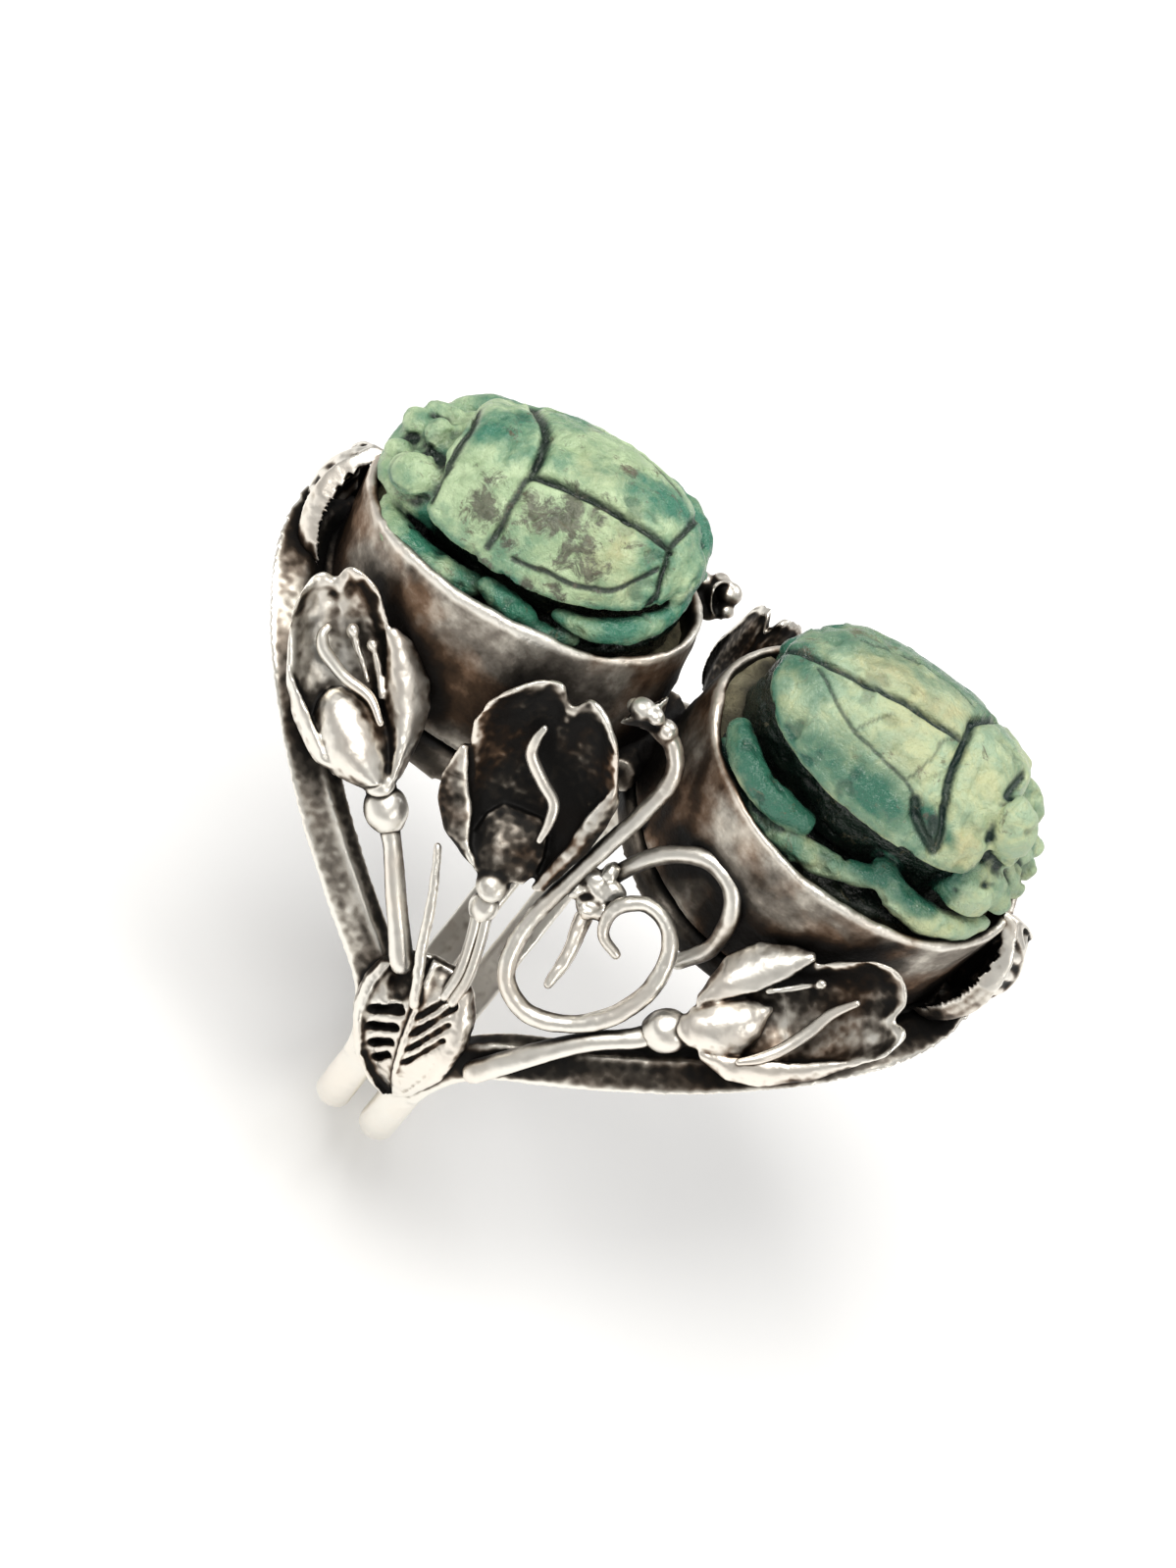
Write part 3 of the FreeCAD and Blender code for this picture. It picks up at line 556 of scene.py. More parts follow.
def glaze(name, pale, warm, teal, deep, patchiness):
    """Worn glaze over carved stone: pale on the crowns, teal where it is thick and dark in the cuts; painted
    shade darkens its sheltered places and paints the recess under the wing cases near black.
    """
    material, tree, surface = shader(name)
    position = tree.nodes.new("ShaderNodeTexCoord").outputs["Object"]
    mottle = noise_of(tree, position, 520, 5, 0.65)
    small = noise_of(tree, position, 2100, 4, 0.7)
    specks = noise_of(tree, position, 1300, 6, 0.8, 0.6)
    veil = noise_of(tree, position, 1100, 4, 0.6, 0.8)
    base = mixed(tree, ramp(tree, [(0.36, 0.0), (0.60, 1.0)], veil), pale, warm)
    sand = times(tree, attribute(tree, "sandy"), ramp(tree, [(0.3, 0.4), (0.6, 1.0)], small))
    base = mixed(tree, sand, base, (0.60, 0.52, 0.26))
    glass = total(
        tree, swing(tree, mottle, patchiness), swing(tree, small, 0.5), attribute(tree, "thick")
    )
    base = mixed(tree, ramp(tree, [(0.15, 0.0), (0.55, 0.6), (0.95, 1.0)], glass), base, teal)
    # Painted shade: the less open a place is, the nearer it comes to the deep colour; cuts and chips are
    # darkened with it.
    shelter, contrast = 0.74, 2.7
    dark = times(tree, minus(tree, shelter, attribute(tree, "open")), contrast)
    dark = total(tree, dark, swing(tree, small, 0.5))
    dark = minus(tree, dark, times(tree, attribute(tree, "edge"), 1.6))
    dark = maths(tree, "MAXIMUM", dark, times(tree, attribute(tree, "cut"), 0.95), clamp=True)
    base = mixed(tree, dark, base, deep)
    # Painted shade: the recess under the wing cases, away from the legs and head, is made nearly black.
    base = mixed(tree, attribute(tree, "recess_shade"), base, (0.006, 0.009, 0.007))
    stain = total(tree, attribute(tree, "soot"), swing(tree, specks, 1.5))
    stain = ramp(tree, [(0.30, 0.0), (0.48, 0.88)], stain)
    brown = ramp(tree, [(0.4, (0.05, 0.045, 0.034)), (0.6, (0.14, 0.135, 0.10))], small)
    base = mixed(tree, stain, base, brown)
    base = mixed(tree, ramp(tree, [(0.59, 0.0), (0.67, 0.75)], specks), base, (0.15, 0.13, 0.08))
    rough = ramp(tree, [(0.35, 0.32), (0.7, 0.58)], small)
    rough = minus(tree, rough, times(tree, attribute(tree, "thick"), 0.22))
    surface.inputs["Specular IOR Level"].default_value = 0.6
    dress(tree, surface, base, rough, total(tree, small, veil), 0.9, 0.00018)
    return material


def cement(name):
    """Sandy setting cement, with painted shade that turns its sheltered places nearly black."""
    material, tree, surface = shader(name)
    position = tree.nodes.new("ShaderNodeTexCoord").outputs["Object"]
    grit = noise_of(tree, position, 1900, 6, 0.75)
    lumps = noise_of(tree, position, 600, 3, 0.6)
    colour = ramp(
        tree,
        [(0.3, (0.05, 0.045, 0.03)), (0.5, (0.26, 0.23, 0.14)), (0.7, (0.50, 0.46, 0.31))],
        total(tree, times(tree, grit, 0.7), times(tree, lumps, 0.3)),
    )
    # Painted shade: sheltered places of the cement turn nearly black.
    shelter, contrast = 0.42, 3.5
    dark = times(tree, minus(tree, shelter, attribute(tree, "open")), contrast, clamp=True)
    colour = mixed(tree, dark, colour, (0.012, 0.012, 0.010))
    dress(tree, surface, colour, ramp(tree, [(0.3, 0.8), (0.7, 0.95)], grit), grit, 1.0, 0.0002)
    return material


WALL = silver("wall_oxidised", -0.02, 0.0, 1.7, 1.0, 0.46, 1.0)
BAND = silver("band_worn", -0.20, 0.22, 0.5, 0.3, 0.34, 0.5, 3.4)
ORNAMENT = silver("ornament_polished", -0.27, 0.86, 0.9, 0.35, 0.36, 0.9, 1.7)
# A darker copy of the ornament silver for the near middle flower, as painted shade, with its edges kept
# bright.
SHADOWED = silver("ornament_painted_shade", -0.38, 0.30, 1.4, 0.6, 0.38, 0.8, 2.6)
SOLDER = silver("solder_dark", -0.15, 0.1, 0.4, 0.9, 0.45)
LEFT_GLAZE = glaze(
    "glaze_left", (0.60, 0.76, 0.47), (0.40, 0.55, 0.32), (0.05, 0.22, 0.14), (0.016, 0.03, 0.022), 2.6
)
RIGHT_GLAZE = glaze(
    "glaze_right", (0.57, 0.64, 0.37), (0.42, 0.57, 0.38), (0.04, 0.17, 0.11), (0.010, 0.03, 0.024), 1.5
)
CEMENT = cement("setting_cement")


# Scarabs, in their own frame: X to the head, Z up from the axis of the dome and Y to the near side

class Scarab:
    """One scarab's measures: the dome's radius along its length, the wing cases' lower edge and its lie."""

    def __init__(self, profile, margin, lie):
        self.x = np.array([x for x, _ in profile])
        self.r = np.array([r for _, r in profile])
        self.margin = margin
        self.lie = lie

    def radius(self, x):
        """The dome's radius at a place along its length."""
        return np.interp(x, self.x, self.r)

    def on_dome(self, pairs):
        """A line on the dome from places along it and angles from its top."""
        line = spline([(x, angle, 0) for x, angle in pairs], 6)
        radius = self.radius(line[:, 0])
        turn = np.radians(line[:, 1])
        return np.stack([line[:, 0], radius * np.sin(turn), radius * np.cos(turn)], axis=1)

    def dome(self):
        """Wing cases and thorax as one dome with an overhanging lower edge, and the core below it."""
        reach = self.x[self.r > self.margin + 0.05]
        sweep = np.linspace(0, math.pi, 70)
        middle, half = (reach[0] + reach[-1]) / 2, (reach[-1] - reach[0]) / 2
        sections = []
        for x in middle - half * np.cos(sweep):
            radius = max(float(self.radius(x)), self.margin + 0.02)
            limit = math.acos(self.margin / radius)
            arc = [(radius * math.sin(a), radius * math.cos(a)) for a in np.linspace(-limit, limit, 40)]
            wide = arc[-1][0]
            inner = max(wide - 0.8, 0.02 * wide)
            lip = [(wide - 0.02, self.margin - 0.16), (max(wide - 0.2, inner), self.margin - 0.34)]
            under = lip + [(inner, self.margin - 0.55), (inner, -0.9)]
            ring = arc + under + [(-y, z) for y, z in reversed(under)]
            sections.append([(x, y, z) for y, z in ring])
        return loft(sections)

    def base(self, half_length, half_width, bottom, top):
        """The oval plate under the beetle."""
        turns = np.linspace(0, 2 * math.pi, 96, endpoint=False)
        levels = [(bottom, 0.97), (bottom + 0.15, 1.0), (top - 0.2, 1.0), (top, 0.955)]
        return loft(
            [
                [(half_length * scale * math.cos(t), half_width * scale * math.sin(t), z) for t in turns]
                for z, scale in levels
            ]
        )


def head_form(sections):
    """A head lofted through rounded blocks: place, half width, top and bottom."""
    turns = np.linspace(0, 2 * math.pi, 40, endpoint=False)
    rows = []
    for x, wide, top, bottom in sections:
        middle, half = (top + bottom) / 2, (top - bottom) / 2
        ring = []
        for t in turns:
            c, s = math.cos(t), math.sin(t)
            ring.append(
                (x, wide * math.copysign(abs(c) ** 0.7, c), middle + half * math.copysign(abs(s) ** 0.7, s))
            )
        rows.append(ring)
    return loft(rows)


def both_sides(mesh):
    """A mesh and its mirror image on the other side of the beetle."""
    other = mesh.copy()
    other.transform(Matrix.Diagonal((1, -1, 1, 1)))
    other.flip_normals()
    return [mesh, other]


def limb(points, radii, flat=1.0):
    """A carved leg."""
    return tube(spline(points, 8), radii, 16, flat)


LEFT = Scarab(
    [
        (-5.75, 0.1), (-5.6, 1.5), (-5.3, 2.2), (-4.9, 2.75), (-4.34, 3.15), (-3.63, 3.52), (-3.05, 3.7),
        (-2.48, 3.86), (-1.94, 3.97), (-1.38, 4.07), (-0.5, 4.12), (0.5, 4.08), (1.4, 3.97), (2.2, 3.8),
        (3.07, 3.58), (3.45, 3.4), (3.75, 3.0), (3.9, 2.2), (3.95, 0.1),
    ],
    2.15,
    {"roll": 22, "yaw": 5, "lift": 0.5, "side": 1},
)
RIGHT = Scarab(
    [
        (-6.15, 0.1), (-6.05, 1.3), (-5.7, 2.2), (-5.5, 2.55), (-5.24, 2.86), (-4.94, 3.12), (-4.27, 3.56),
        (-3.47, 3.87), (-2.6, 4.06), (-1.6, 4.19), (-0.6, 4.25), (0.44, 4.25), (1.6, 4.14), (2.9, 3.9),
        (3.5, 3.6), (3.75, 3.1), (3.9, 2.3), (3.95, 0.1),
    ],
    2.4,
    {"roll": 7, "yaw": -4, "lift": 0.85, "side": -1},
)


def ring_line(centre, facing, radius):
    """A closed round line about a centre, seen round from one direction."""
    place = axes_from(Vector(centre), Vector(facing), Vector((0.1, 0.3, 1)))
    turns = np.linspace(0, 2 * math.pi, 25)
    return np.array([place @ Vector((0, radius * math.cos(t), radius * math.sin(t))) for t in turns])


def scarab_mesh(form, plate, parts, carvings, cuts, stains):
    """Join the parts of a scarab, carve its lines and lay its stains."""
    carved = joined([part.copy() for part in parts])
    carved_tree = BVHTree.FromPolygons(
        [v.co.copy() for v in carved.vertices], [list(p.vertices) for p in carved.polygons]
    )
    mesh = skinned([form.dome(), plate] + parts, 0.085, 4)
    points = coords(mesh)
    axis_distance = np.hypot(points[:, 1], points[:, 2])
    inward = np.stack([np.zeros(len(points)), -points[:, 1], -points[:, 2]], axis=1)
    inward /= np.maximum(axis_distance, 0.1)[:, None]
    crown = smooth_step(0.35, 0.1, form.radius(points[:, 0]) - axis_distance)
    crown *= smooth_step(form.margin - 0.3, form.margin - 0.05, points[:, 2])
    cut = np.zeros(len(points))
    depth = np.zeros(len(points))
    wander = points + 0.05 * np.stack([grain(points, 0.8, seed) for seed in (3, 4, 5)], axis=1)
    for line, width, deep in carvings:
        near = np.exp(-(distance_to(wander, line) / (1.15 * width)) ** 2)
        depth = np.maximum(depth, deep * near)
        cut = np.maximum(cut, smooth_step(0.15, 0.65, near) * min(1, deep / 0.12))
    points = points + inward * (depth * crown)[:, None]
    cut *= crown
    out = normals(mesh)
    for line, width, deep in cuts:
        near = np.exp(-(distance_to(wander, line) / width) ** 2)
        points = points - out * (deep * near)[:, None]
        cut = np.maximum(cut, smooth_step(0.3, 0.9, near) * min(1, deep / 0.14))
    # The core under the wing cases' overhang, away from the carved parts, is marked for painted shade, which
    # the glaze makes nearly black.
    below = smooth_step(form.margin - 0.2, form.margin - 0.45, points[:, 2])
    apart = np.array([
        carved_tree.find_nearest(point)[3] if share > 0 else 0 for point, share in zip(points.tolist(), below)
    ])
    recess_shade = 0.94 * below * smooth_step(0.1, 0.26, apart)
    rough = 0.06 * clouds(points, 1.1, 11) + 0.03 * clouds(points, 0.4, 21, 2)
    chipped = smooth_step(0.3, 0.7, clouds(points, 0.6, 31, 2))
    points = points + out * (rough - 0.1 * chipped)[:, None]
    cut = np.maximum(cut, 0.4 * chipped * smooth_step(0.1, 0.5, clouds(points, 2.0, 35)))
    place_coords(mesh, points)
    warp = points + 0.5 * np.stack([clouds(points, 1.2, seed) for seed in (41, 51, 61)], axis=1)

    def blots(kind):
        """The strength of each stain of one kind, vertex by vertex."""
        for x, angle, size, share in stains[kind]:
            centre = form.on_dome([(x, angle), (x + 0.01, angle)])[0]
            yield share * np.exp(-((warp - centre) ** 2).sum(axis=1) / size**2)

    soot = np.max(list(blots("soot")), axis=0)
    sandy = np.max(list(blots("sandy")), axis=0)
    thick = sum(blots("thick"), np.full(len(points), stains["thick_everywhere"]))
    low = smooth_step(form.margin - 0.1, form.margin - 0.5, points[:, 2])
    low *= 1 - 0.8 * smooth_step(3.5, 4.3, points[:, 0])
    thick += low * (stains["thick_below"] + 0.35 * clouds(points, 1.3, 91))
    outer_legs = smooth_step(0.3, -0.1, points[:, 2]) * smooth_step(3.2, 3.6, np.abs(points[:, 1]))
    thick -= stains["pale_legs"] * outer_legs
    thick += 0.35 * smooth_step(0.2, 0.0, np.abs(points[:, 2] - form.margin)) * (1 - low)
    lean = np.degrees(np.abs(np.arctan2(points[:, 1], points[:, 2])))
    thick += stains["thick_flanks"] * smooth_step(28, 58, lean)
    flank = np.exp(-(((lean - 43) / 8) ** 2)) * (points[:, 1] > 0) * smooth_step(1.5, -0.5, points[:, 0])
    thick += (1 - low) * (stains["band"] * flank - 0.5 * stains["band"] * smooth_step(50, 55, lean))
    thick = np.clip(thick, 0, 1)
    for name, values in {"cut": cut, "recess_shade": recess_shade, "soot": soot, "thick": thick, "sandy": sandy}.items():
        store(mesh, name, values)
    side, lie = form.lie["side"], form.lie
    turn = Matrix.Rotation(math.radians(-side * lie["roll"]), 4, "X") @ Matrix.Rotation(
        math.radians(side * lie["yaw"]), 4, "Z"
    )
    mesh.transform(Matrix.Diagonal((1, side, 1, 1)))
    if side < 0:
        mesh.flip_normals()
    bezel = LEFT_BEZEL if side > 0 else RIGHT_BEZEL
    return moved(mesh, bezel @ Matrix.Translation((0, 0, lie["lift"])) @ turn)


def make_left_scarab():
    """The left scarab: a round eye on the near side, legs in two tiers and sooty wing cases."""
    plate = LEFT.base(5.45, 3.95, -1.9, -0.5)
    eye, eye_facing = (4.5, 1.42, 2.05), (0.25, 0.5, 0.83)

    def eye_ring(away, radius):
        """A line round the eye."""
        return ring_line(np.array(eye) + away * np.array(eye_facing), eye_facing, radius)

    parts = [
        head_form(
            [
                (3.3, 2.2, 2.45, -0.3), (3.9, 2.2, 2.35, -0.1), (4.6, 2.0, 1.95, 0.1), (5.2, 1.75, 1.6, 0.3),
                (5.7, 1.45, 1.3, 0.4), (5.95, 1.1, 1.05, 0.5), (6.08, 0.6, 0.9, 0.6),
            ]
        )
    ]
    parts += [ball(eye, (1.0, 0.95, 0.72)), ball((4.35, -1.35, 1.45), (0.8, 0.7, 0.7))]
    parts += [ball((5.35, -0.7, 1.6), (0.62, 0.6, 0.45)), ball((5.45, 0.5, 1.4), (0.5, 0.45, 0.4))]
    parts += [ball((4.5, -0.3, 2.15), (0.5, 0.7, 0.4)), ball((5.0, -1.5, 1.5), (0.5, 0.45, 0.5))]
    parts += both_sides(
        limb([(4.95, 1.95, 0.2), (4.3, 2.78, 0.3), (3.3, 3.3, 0.4), (2.2, 3.45, 0.45), (1.1, 3.4, 0.5)],
             [0.42, 0.6, 0.64, 0.6, 0.4])
    )
    parts += both_sides(limb([(0.6, 3.45, 1.0), (-0.2, 3.62, 0.85), (-1.1, 3.7, 0.6)], [0.36, 0.5, 0.42]))
    parts += both_sides(limb([(-0.7, 3.8, 0.3), (-1.7, 3.75, 0.3), (-2.7, 3.45, 0.4)], [0.35, 0.42, 0.3]))
    parts += both_sides(
        limb([(-2.0, 3.2, 1.0), (-3.1, 3.15, 1.05), (-4.2, 2.6, 1.1), (-5.0, 1.75, 1.15), (-5.5, 0.6, 1.2)],
             [0.3, 0.45, 0.5, 0.45, 0.3])
    )
    parts.append(ball((-5.2, 0, 1.5), (0.5, 1.2, 0.9)))
    carvings = [
        (LEFT.on_dome([(0.78, 9), (-0.13, 7), (-1.0, 6), (-2.4, 5), (-3.2, 4), (-4.4, 4)]), 0.15, 0.36),
        (LEFT.on_dome([(2.1, -52), (1.87, -38), (1.3, -25), (0.92, -10), (0.8, 1), (0.78, 9)]), 0.17, 0.36),
        (LEFT.on_dome([(0.78, 9), (0.95, 14), (0.93, 22), (0.95, 34), (1.05, 50)]), 0.12, 0.14),
        (LEFT.on_dome([(0.1, 49), (-1.2, 48), (-2.3, 47), (-3.2, 43), (-3.8, 32), (-4.3, 20)]), 0.09, 0.13),
        (LEFT.on_dome([(-4.3, 4), (-4.5, 18), (-4.6, 34), (-4.55, 52)]), 0.12, 0.24),
        (LEFT.on_dome([(-4.3, 4), (-4.5, -14), (-4.6, -32), (-4.55, -52)]), 0.12, 0.2),
        (LEFT.on_dome([(0.0, -50), (-1.3, -48), (-2.6, -46), (-3.7, -38)]), 0.09, 0.1),
        (LEFT.on_dome([(3.6, -28), (3.45, -5), (3.5, 12), (3.55, 28), (3.5, 44)]), 0.15, 0.26),
    ]
    cuts = [(eye_ring(0.62, 0.72), 0.1, 0.05)]
    cuts += [(eye_ring(away, 1.03), 0.18, 0.13) for away in (-0.3, -0.05, 0.2, 0.45)]
    cuts += [
        (spline([(5.9, 0.1, 1.3), (5.2, -0.1, 1.75), (4.7, 0.4, 2.05), (4.1, 0.5, 2.4)], 6), 0.13, 0.16),
        (spline([(5.8, -1.0, 1.1), (5.1, -1.1, 1.75), (4.3, -1.0, 2.2), (3.9, -1.4, 2.3)], 6), 0.13, 0.15),
        (spline([(4.2, 3.1, 0.5), (3.5, 3.1, 0.85), (2.8, 3.5, 0.8)], 6), 0.11, 0.12),
        (spline([(2.9, 3.9, 0.2), (2.2, 3.6, 0.9), (1.7, 3.9, 0.5)], 6), 0.1, 0.12),
    ]
    stains = {
        "thick_everywhere": 0.13,
        "thick_flanks": 0.1,
        "band": 0.1,
        "thick_below": 0.62,
        "pale_legs": 0.0,
        "soot": [
            (1.6, 27, 1.1, 0.56), (1.2, 38, 0.8, 0.5), (0.1, 20, 1.1, 0.44), (-0.9, 18, 1.2, 0.55),
            (-2.0, 17, 0.9, 0.5), (-1.7, 31, 1.2, 0.46), (-2.6, 37, 1.0, 0.42), (0.4, 42, 0.8, 0.42),
            (2.7, 16, 0.5, 0.42), (3.7, 22, 0.5, 0.4), (2.4, 48, 0.7, 0.35), (-3.4, 20, 0.7, 0.35),
            (0.5, -22, 1.4, 0.26), (-2.6, -20, 1.6, 0.26), (2.4, -16, 0.8, 0.3), (1.2, 57, 0.6, 0.5),
            (0.2, 56, 0.5, 0.5), (-0.9, 55, 0.6, 0.5), (-2.0, 53, 0.6, 0.48), (-3.0, 50, 0.5, 0.45),
        ],
        "thick": [
            (2.3, -17, 1.1, 0.6), (-3.9, 21, 0.8, 0.5), (-3.2, -20, 1.4, 0.4), (-4.8, -30, 1.4, 0.45),
            (0.6, -42, 1.3, 0.5), (3.0, 50, 0.9, 0.4), (0.2, 56, 1.0, 0.35), (-2.2, 22, 0.4, 0.35),
            (4.6, -10, 1.1, 0.45), (4.4, 28, 0.9, 0.3), (-4.9, 30, 0.8, 0.35),
        ],
        "sandy": [(-1.2, -10, 0.9, 0.4), (-2.3, -14, 0.8, 0.35), (-2.8, 22, 0.9, 0.6), (-3.6, 42, 0.6, 0.4)],
    }
    mesh = scarab_mesh(LEFT, plate, parts, carvings, cuts, stains)
    piece("left_beetle", mesh, LEFT_GLAZE, "left_scarab_glaze", "left_scarab")


def make_right_scarab():
    """The right scarab: a toothed head with a raised front, a V at the near shoulder and glossy legs."""
    plate = RIGHT.base(5.7, 4.15, -2.1, -1.2)
    parts = [
        head_form(
            [
                (3.3, 2.6, 2.6, -0.5), (3.9, 2.5, 2.3, -0.3), (4.6, 2.15, 1.8, -0.1), (5.1, 1.85, 1.4, 0.1),
                (5.45, 1.5, 1.1, 0.2), (5.6, 1.1, 0.9, 0.3),
            ]
        )
    ]
    boss = [(3.1, 0.6, 4.0, 1.4), (3.5, 0.95, 4.35, 1.4), (4.3, 0.85, 4.0, 1.2), (4.75, 0.65, 3.4, 1.0)]
    parts.append(moved(head_form(boss + [(4.9, 0.3, 2.5, 1.0)]), Matrix.Translation((0, 0.55, 0))))
    cheek = [(3.4, 0.5, 1.9, 0.3), (4.0, 0.68, 1.9, 0.2), (4.7, 0.52, 1.55, 0.2), (5.1, 0.25, 1.2, 0.4)]
    parts += both_sides(moved(head_form(cheek), Matrix.Translation((0, 2.15, 0))))
    tooth = [(4.6, 0.46, 1.5, 0.1), (5.2, 0.44, 1.25, 0.0), (5.75, 0.36, 0.95, 0.0), (6.05, 0.2, 0.7, 0.1)]
    for y in (-1.35, -0.45, 0.45, 1.35):
        shorter = Matrix.Translation((-0.12 * y * y, y, 0))
        parts.append(moved(head_form(tooth), shorter))
    parts += both_sides(
        limb([(-5.1, 1.95, 0.05), (-4.5, 2.7, 0.1), (-3.6, 3.28, 0.1), (-2.5, 3.5, 0.1), (-1.6, 3.42, 0.15)],
             [0.42, 0.56, 0.58, 0.56, 0.4], 1.15)
    )
    parts += both_sides(
        limb([(-5.0, 2.2, -0.9), (-4.1, 2.95, -0.9), (-2.9, 3.6, -0.85), (-1.3, 3.85, -0.7),
              (0.2, 3.7, -0.45), (1.5, 3.3, -0.1)],
             [0.36, 0.44, 0.46, 0.5, 0.48, 0.4])
    )
    parts += both_sides(
        limb([(1.5, 2.9, 0.1), (2.4, 3.3, -0.15), (3.6, 3.2, -0.35), (4.7, 2.65, -0.45), (5.5, 1.8, -0.5)],
             [0.44, 0.58, 0.58, 0.5, 0.34])
    )
    carvings = [
        (RIGHT.on_dome([(0.6, -4), (-0.6, -2), (-1.9, 0), (-3.2, 2), (-4.4, 2), (-5.6, -2)]), 0.12, 0.28),
        (
            RIGHT.on_dome(
                [(1.9, -52), (1.5, -38), (0.9, -22), (0.82, -10), (0.92, 3), (1.1, 14), (1.35, 24),
                 (1.75, 34), (2.15, 45)]
            ),
            0.15,
            0.34,
        ),
        (RIGHT.on_dome([(-4.45, 8), (-3.6, 17), (-2.5, 26), (-1.45, 28), (-0.1, 30), (0.5, 33)]), 0.06, 0.09),
        (RIGHT.on_dome([(-2.4, 25), (-2.1, 17), (-1.7, 8)]), 0.05, 0.07),
        (RIGHT.on_dome([(0.55, -3), (0.15, 4), (0.18, 13), (-0.05, 29)]), 0.05, 0.07),
        (RIGHT.on_dome([(-3.8, -24), (-2.2, -32), (-0.4, -34), (0.6, -32)]), 0.06, 0.08),
        (RIGHT.on_dome([(0.6, 34), (0.95, 39), (1.45, 43), (2.1, 47)]), 0.2, 0.3),
        (RIGHT.on_dome([(1.5, 36), (1.7, 40)]), 0.2, 0.22),
        (RIGHT.on_dome([(3.25, -20), (3.1, 2), (3.3, 14), (3.5, 26)]), 0.14, 0.22),
    ]
    cuts = [
        (spline([(6.0, y, 0.7), (5.5, y, 1.15), (4.8, y * 0.95, 1.6)], 6), 0.13, 0.2)
        for y in (-0.9, 0.0, 0.9)
    ]
    cuts.append((spline([(3.3, 1.65, 2.7), (4.2, 1.55, 2.2), (4.9, 1.25, 1.7)], 6), 0.2, 0.28))
    cuts.append((spline([(3.3, -0.6, 2.9), (4.2, -0.5, 2.3), (4.9, -0.25, 1.7)], 6), 0.18, 0.25))
    cuts.append((spline([(3.6, 2.9, 1.3), (4.3, 2.2, 1.6), (4.9, 1.6, 1.5)], 6), 0.12, 0.12))
    stains = {
        "thick_everywhere": 0.04,
        "thick_flanks": 0.22,
        "band": 0.5,
        "thick_below": 0.75,
        "pale_legs": 0.65,
        "soot": [(2.0, -4, 0.25, 0.4), (-5.0, 4, 0.5, 0.35), (4.4, 14, 0.4, 0.3), (1.15, 36, 0.3, 0.5)],
        "thick": [
            (-1.0, -46, 1.5, 0.65), (-3.4, -34, 1.5, 0.6), (-5.2, -12, 1.1, 0.7), (-5.3, 12, 0.8, 0.55),
            (-4.2, 20, 0.9, 0.45), (-0.9, 42, 1.3, 0.45), (0.6, 44, 1.0, 0.5), (-2.6, 38, 1.3, 0.4),
            (1.6, -34, 1.4, 0.55), (3.2, -10, 0.7, 0.3), (4.3, 6, 0.6, 0.5), (2.8, 26, 0.5, 0.25),
            (1.0, 34, 0.45, 0.9), (1.8, 40, 0.5, 0.8), (2.2, 45, 0.4, 0.7), (0.8, 0, 0.35, 0.5),
        ],
        "sandy": [
            (-2.6, -14, 1.0, 0.85), (-1.2, -12, 1.0, 0.8), (0.1, -12, 0.8, 0.65), (-0.6, 22, 0.8, 0.5),
            (2.9, 38, 0.9, 0.75), (3.4, 50, 0.9, 0.6), (2.4, 8, 0.8, 0.35), (-1.2, 12, 0.9, 0.4),
            (4.6, 10, 0.7, 0.4),
        ],
    }
    mesh = scarab_mesh(RIGHT, plate, parts, carvings, cuts, stains)
    piece("right_beetle", mesh, RIGHT_GLAZE, "right_scarab_glaze", "right_scarab")


# Bezels

def seat_depth(matrix, x, y):
    """How far below the rim's plane the finger tube's outside lies under a place of the rim."""
    start = matrix @ Vector((x, y, 0))
    down = matrix.to_3x3() @ Vector((0, 0, -1))
    a = down.y**2 + down.z**2
    b = start.y * down.y + start.z * down.z
    c = start.y**2 + start.z**2 - SEAT**2
    return (-b - math.sqrt(max(b * b - a * c, 0))) / a


def bezel_wall(side, matrix, half_length, half_width, seed):
    """A hand-made wall: hammered outside, a wavy thin rim and a shaded inside."""
    around_count = 300
    turns = np.linspace(0, 2 * math.pi, around_count, endpoint=False)
    rows = [("out", share) for share in (0.0, 0.1, 0.2, 0.3, 0.4, 0.5, 0.6, 0.7, 0.8, 0.87, 0.93, 0.97)]
    rows += [("rim", share) for share in (0.0, 0.25, 0.5, 0.75, 1.0)]
    rows += [("in", share) for share in (0.08, 0.2, 0.4, 0.7, 1.0)]
    circle = np.stack([np.cos(turns) * 3, np.sin(turns) * 3, np.zeros(around_count)], axis=1)
    wave = 0.14 * clouds(circle, 1.6, seed) + 0.04 * clouds(circle, 0.35, seed + 5, 2)
    thin = 0.40 + 0.09 * clouds(circle, 0.8, seed + 9)
    points = []
    for kind, share in rows:
        for index, t in enumerate(turns):
            c, s = math.cos(t), math.sin(t)
            depth = seat_depth(matrix, half_length * c, half_width * s) + 0.05
            top = wave[index]
            thickness = thin[index]
            if kind == "out":
                flare = 0.12 * (1 - share) ** 3
                z = -depth * (1 - share) + (top - thickness / 2) * share
                inset = -flare
            elif kind == "rim":
                angle = math.pi * share
                z = top - thickness / 2 + thickness / 2 * math.sin(angle)
                inset = thickness / 2 * (1 - math.cos(angle))
            else:
                z = (top - thickness / 2) * (1 - share) - 1.9 * share
                inset = thickness + 0.12 * share
            normal = Vector((c / half_length, s / half_width, 0)).normalized()
            points.append((half_length * c - normal.x * inset, half_width * s - normal.y * inset, z))
    mesh = modified(mesh_of(points, shell_faces(len(rows), around_count, True)), "SUBSURF", levels=1)
    height = coords(mesh)[:, 2]
    roughened(mesh, (0.05, 2.2, seed + 13, 3), (0.03, 0.7, seed + 17, 3))
    # Lighter near the rim and darker towards the foot of the wall.
    wear_and_painted_light = 0.36 * smooth_step(-0.3, -0.05, height) + 0.10 * smooth_step(-2.4, -0.6, height)
    store(mesh, "wear_and_painted_light", wear_and_painted_light - 0.2 * smooth_step(-2.2, -4.5, height))
    piece(side + "_wall", moved(mesh, matrix), WALL, "wall_silver", side + "_bezel_wall")


